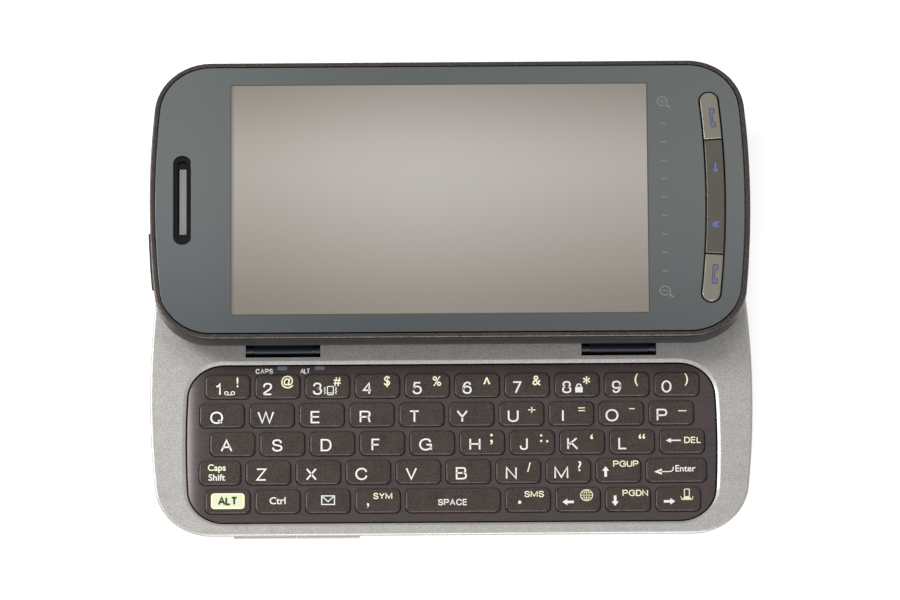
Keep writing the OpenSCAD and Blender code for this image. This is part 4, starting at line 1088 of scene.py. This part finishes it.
def step_mask(tree, value, centre, half, soft):
    """1 where the value lies within half of the centre, 0 outside."""
    off = math_node(tree, "ABSOLUTE", math_node(tree, "SUBTRACT", value, centre * MM))
    return math_node(tree, "MULTIPLY_ADD", off, -1 / (soft * MM), half / soft + 0.5,
                     clamp=True)


def ramp(tree, value, stops):
    node = add(tree, "ShaderNodeValToRGB", {0: value})
    node.color_ramp.interpolation = "B_SPLINE"
    for place_at, colour in stops[2:]:
        node.color_ramp.elements.new(place_at)
    for element, (place_at, colour) in zip(node.color_ramp.elements, sorted(stops)):
        element.position = place_at
        element.color = tone(*colour)
    return node.outputs[0]


panel_gloss = surface("panel_gloss", (78, 82, 80), (82, 86, 84), 0.1, scale=300)
tree = panel_gloss.node_tree
across, along, _ = add(tree, "ShaderNodeSeparateXYZ", {
    0: tree.nodes["Texture Coordinate"].outputs["Object"]}).outputs
length, width = (2 * half for half in OUTLINE[:2])
share_x = math_node(tree, "MULTIPLY_ADD", across, 1 / (length * MM), 0.5)
share_y = math_node(tree, "MULTIPLY_ADD", along, 1 / (width * MM), 0.5 - SLID / width)
# The blue-grey print with a painted reflection: darker and lighter in broad bands across and
# along the sheet.
print_and_painted_reflection = blended(
    tree, 0.5, ramp(tree, share_x, [(0.0, (81, 87, 88)), (0.12, (85, 91, 92)),
                                    (0.45, (46, 52, 54)), (1.0, (104, 108, 107))]),
    ramp(tree, share_y, [(0.0, (48, 52, 57)), (0.25, (84, 88, 90)), (0.6, (102, 105, 102)),
                         (1.0, (84, 89, 88))]))
# The screen's grey-brown with a painted reflection: lightest in the middle, darker towards the
# front and back edges and the left end.
screen_and_painted_reflection = blended(
    tree, 1.0, ramp(tree, share_y, [(0.08, (134, 127, 118)), (0.25, (153, 147, 138)),
                                    (0.5, (180, 175, 170)), (0.7, (185, 180, 174)),
                                    (0.92, (137, 131, 122))]),
    ramp(tree, share_x, [(0.14, (216, 214, 210)), (0.3, (236, 235, 233)),
                         (0.5, (252, 252, 252)), (0.84, (234, 232, 229))]), "MULTIPLY")
middle, half = (SCREEN[0] + SCREEN[1]) / 2, (SCREEN[1] - SCREEN[0]) / 2
mask, rim_mask = (
    math_node(tree, "MULTIPLY", step_mask(tree, across, middle, half + grow, 0.12),
              step_mask(tree, along, SLID, SCREEN[2] + grow, 0.12)) for grow in (0, 0.22))
line = step_mask(tree, across, SCREEN[0] + 0.25, 0.2, 0.1)
screen_and_painted_reflection = blended(tree, math_node(tree, "MULTIPLY", line, 0.45), screen_and_painted_reflection,
                        tone(96, 90, 84))
print_and_painted_reflection = blended(tree, rim_mask, print_and_painted_reflection, tone(64, 60, 56))
tree.links.new(blended(tree, mask, print_and_painted_reflection, screen_and_painted_reflection),
               tree.nodes["Principled BSDF"].inputs["Base Color"])

panel = shell("front_glass", [display_ring(*at) for at in (
    (1.12, 16.3), (1.12, 17.14), (1.14, 17.18), (1.18, 17.2), (1.22, 17.2))])
shape_with(panel, [shell("key_slot", round_the_edge(slot_loop)),
                   shell("ear_slot", round_the_edge(earpiece_loop))])
place(panel, [panel_gloss, black_and_painted_shade], "display", "panel_gloss", ["front_panel"])
# The side walls of the two slots take the near-black paint, as painted shade in the gaps round
# the front keys and the earpiece.
for face in panel.data.polygons:
    if abs(face.normal.z) < 0.5 and abs(face.center.x) < 54.5 * MM:
        face.material_index = 1

# ---- Zoom strip ----
# Faint marks printed on the panel beside the screen: a magnifier with a plus, nine ticks
# and a magnifier with a minus.

TICK_PITCH = 3.94
strip_ink = surface("strip_ink", (118, 121, 119), (126, 129, 127), 0.3)


def magnifier(x, y, plus):
    ring = [ribbon(arc(0, 0, 0.95, 0, 345, 23), 0.22, True),
            ribbon([(-0.5, 0), (0.5, 0)], 0.18), ribbon([(0.66, -0.66), (1.55, -1.4)], 0.36)]
    if plus:
        ring.append(ribbon([(0, -0.5), (0, 0.5)], 0.18))
    return [sign(loops, x, SLID + y) for loops in ring]


printed("zoom_signs", "display", PANEL[1],
        magnifier(41.2, 20.55, True) + magnifier(41.35, -19.9, False),
        [strip_ink])
tick = shell("tick", [(oblong_loop(41.4, 0, 1.0, 0.22, 0.05, 2), z)
                      for z in (PANEL[1] - INK, PANEL[1] + INK)])
ticks = rows_of("zoom_ticks", tick, (0, SLID - 15.72, 0), 9, (0, TICK_PITCH, 0),
                material=strip_ink)
place(ticks, strip_ink, "display", "panel_gloss")

# ---- Earpiece ----
# A stepped black surround in the slot, and under it a black strip with a silver foil. The
# foil has rows of fine round holes that stand between each other.

FOIL = (EAR_X + 0.15, 13.9, 1.34)
HOLE_R = 0.19
HOLE_STEP = (0.667, 0.3)
HOLE_SHIFT = 0.333
HOLE_ROWS = 46
dress("earpiece_bezel", surface("black_plastic", (7, 7, 12), (17, 17, 24), 0.3, shine=0.15))
foil_steel = surface("foil_steel", (180, 179, 175), (198, 197, 192), 0.3, metallic=0.5)
backing = shell("earpiece_strip", [(oblong_loop(EAR_X, SLID, 2.3, 15.0, 0.3), z)
                                   for z in (16.15, 16.19)])
place(backing, black_and_painted_shade, "display", "mesh_steel", ["earpiece_mesh"])
foil = shell("earpiece_foil", [(oblong_loop(FOIL[0], SLID, FOIL[2], FOIL[1], 0.1, 2), z)
                               for z in (16.2, 16.29)])
hole = shell("foil_hole", [(arc(0, 0, HOLE_R, 0, 324, 9), z) for z in (16, 17)])
first_hole = (FOIL[0] - HOLE_SHIFT, SLID - (HOLE_ROWS - 1) / 2 * HOLE_STEP[1], 0)
shape_with(foil, [rows_of("foil_holes", hole, first_hole, 3, (HOLE_STEP[0], 0, 0), HOLE_ROWS,
                          (0, HOLE_STEP[1], 0), (-HOLE_SHIFT, 0, 0))])
place(foil, foil_steel, "display", "mesh_steel", ["earpiece_mesh"])

# ---- Front keys ----
# Three painted metal-look keys in the arched slot: call key, two-way rocker and end key.
# Their edges are narrow bevels, and each has a small blue pictogram with a dark edge.

KEY_PROUD = 17.5
SIDE_KEY = 12.35
KEY_GAP = 0.3
side_key_plastic = surface("side_key_plastic", (118, 114, 104), (138, 134, 123), 0.3,
                           metallic=0.6, scale=6000)
nav_key_plastic = surface("nav_key_plastic", (78, 74, 67), (100, 96, 88), 0.28,
                          metallic=0.6, scale=6000)


def side_key_loop(g, foot):
    turn = math.degrees(math.asin(foot / SLOT_R))
    outer = arc(SLOT_MID, 0, SLOT_R + SLOT_HALF - g, turn, SLOT_TURN, 6)[:-1]
    inner = arc(SLOT_MID, 0, SLOT_R - SLOT_HALF + g, SLOT_TURN, turn, 6)[1:]
    return outer + slot_end(g) + inner


def rocker_loop(g, foot):
    turn = math.degrees(math.asin(foot / SLOT_R))
    return (arc(SLOT_MID, 0, SLOT_R + SLOT_HALF - g, -turn, turn, 14)
            + arc(SLOT_MID, 0, SLOT_R - SLOT_HALF + g, turn, -turn, 14))


BEVEL = ((0.0, 15.6), (0.0, 17.34), (0.05, 17.43), (0.14, 17.48), (0.28, 17.5), (0.32, 17.5))
for name, node, mirror in (("call_key", "send_key", 1), ("hang_up_key", "end_key", -1)):
    cap = shell(name, [([(x, mirror * y + SLID) for x, y in side_key_loop(
        KEY_GAP + b, SIDE_KEY + b)], z) for b, z in BEVEL])
    place(cap, side_key_plastic, node, "side_key_plastic", [node])
rocker = shell("two_way_rocker", [([(x, y + SLID) for x, y in rocker_loop(
    KEY_GAP + b, SIDE_KEY - KEY_GAP - b)], z) for b, z in BEVEL])
place(rocker, nav_key_plastic, "nav_rocker", "nav_key_plastic", ["nav_rocker"])

key_blue = surface("key_blue", (92, 97, 128), (104, 110, 142), 0.4)
key_outline = surface("key_outline", (48, 50, 66), (58, 60, 78), 0.4)
earphone = [(-0.3, -2.0), (0.42, -2.0), (0.5, -1.9), (0.5, -0.95), (0.15, -0.95),
            (-0.02, -0.7), (-0.02, 0.7), (0.15, 0.95), (0.5, 0.95), (0.5, 1.9), (0.42, 2.0),
            (-0.3, 2.0), (-0.45, 1.85), (-0.45, -1.85)]
back_arrow = [(0, -1.25), (0.85, -0.2), (0.3, -0.2), (0.3, 1.3), (-0.3, 1.3), (-0.3, -0.2),
              (-0.85, -0.2)]
house = [(-1.1, 0), (-0.05, -1.05), (-0.05, -0.75), (1.05, -0.75), (1.05, -0.3), (0.55, -0.3),
         (0.55, 0.3), (1.05, 0.3), (1.05, 0.75), (-0.05, 0.75), (-0.05, 1.05)]
for name, body, signs in (
        ("call_sign", "send_key", [(*turned([earphone], 5), 50.9, 16.8)]),
        ("rocker_sign", "nav_rocker", [(back_arrow, 51.35, 6.1), (house, 51.3, -6.0)]),
        ("hang_up_sign", "end_key", [(*turned([earphone], -4), 50.95, -16.6)])):
    printed(name, body, KEY_PROUD, [sign([loop], x, SLID + y) for loop, x, y in signs],
            [key_blue])
    printed(name.replace("sign", "sign_edge"), body, KEY_PROUD + INK,
            [sign(ribbon(loop, 0.13, True), x, SLID + y) for loop, x, y in signs],
            [key_outline])

# ---- Rocker, stylus and socket in the sides ----
# The ivory volume rocker lies in the front wall, the stylus slides into the back corner,
# and the steel socket sits in the right end.

for node, material in (
        ("volume_rocker", surface("rocker_plastic", (206, 200, 188), (222, 216, 204), 0.4,
                                  depth=0.004)),
        ("stylus", surface("stylus_plastic", (60, 59, 62), (76, 75, 78), 0.4, depth=0.006)),
        ("usb_socket", surface("can_steel", (158, 161, 165), (184, 187, 190), 0.3,
                               metallic=1.0))):
    dress(node, material)

# ---- Inside of the phone ----
# What the shells hide: boards, cans, battery, camera, loudspeakers, frame and mat, each
# in the finish that such a part has.

board_green = surface("circuit_board", (22, 74, 50), (34, 98, 66), 0.4, scale=1500,
                      contrast=3.0, coat=0.3)
can_steel = surface("can_plate", (168, 171, 175), (192, 195, 198), 0.28, metallic=1.0)
inner_black = surface("inner_black", (30, 30, 33), (42, 42, 45), 0.5, depth=0.006)
for nodes, material in (
        (("main_board", "display_board", "front_key_board", "volume_switch", "power_switch"),
         board_green),
        (("shield_cans", "card_reader"), can_steel),
        (("camera_module", "rear_speaker", "earpiece_receiver"), inner_black),
        (("battery",), surface("battery_case", (44, 56, 68), (58, 70, 84), 0.45, scale=3000)),
        (("antenna_carrier",), surface("ivory_plastic", (206, 202, 190), (222, 218, 206),
                                       0.5)),
        (("vibration_motor",), surface("motor_steel", (134, 137, 142), (160, 163, 168), 0.3,
                                       metallic=1.0)),
        (("dome_sheet",), surface("dome_sheet", (186, 162, 92), (208, 186, 116), 0.35,
                                  metallic=0.6)),
        (("key_mat",), surface("mat_rubber", (40, 39, 41), (52, 51, 53), 0.7)),
        (("display_frame",), surface("frame_metal", (148, 150, 153), (172, 174, 177), 0.35,
                                     metallic=1.0, pattern=BRUSHED, scale=5000)),
        (("lcd_panel",), surface("lcd_glass", (134, 128, 120), (144, 138, 130), 0.2,
                                 coat=0.5))):
    for node in nodes:
        dress(node, material)
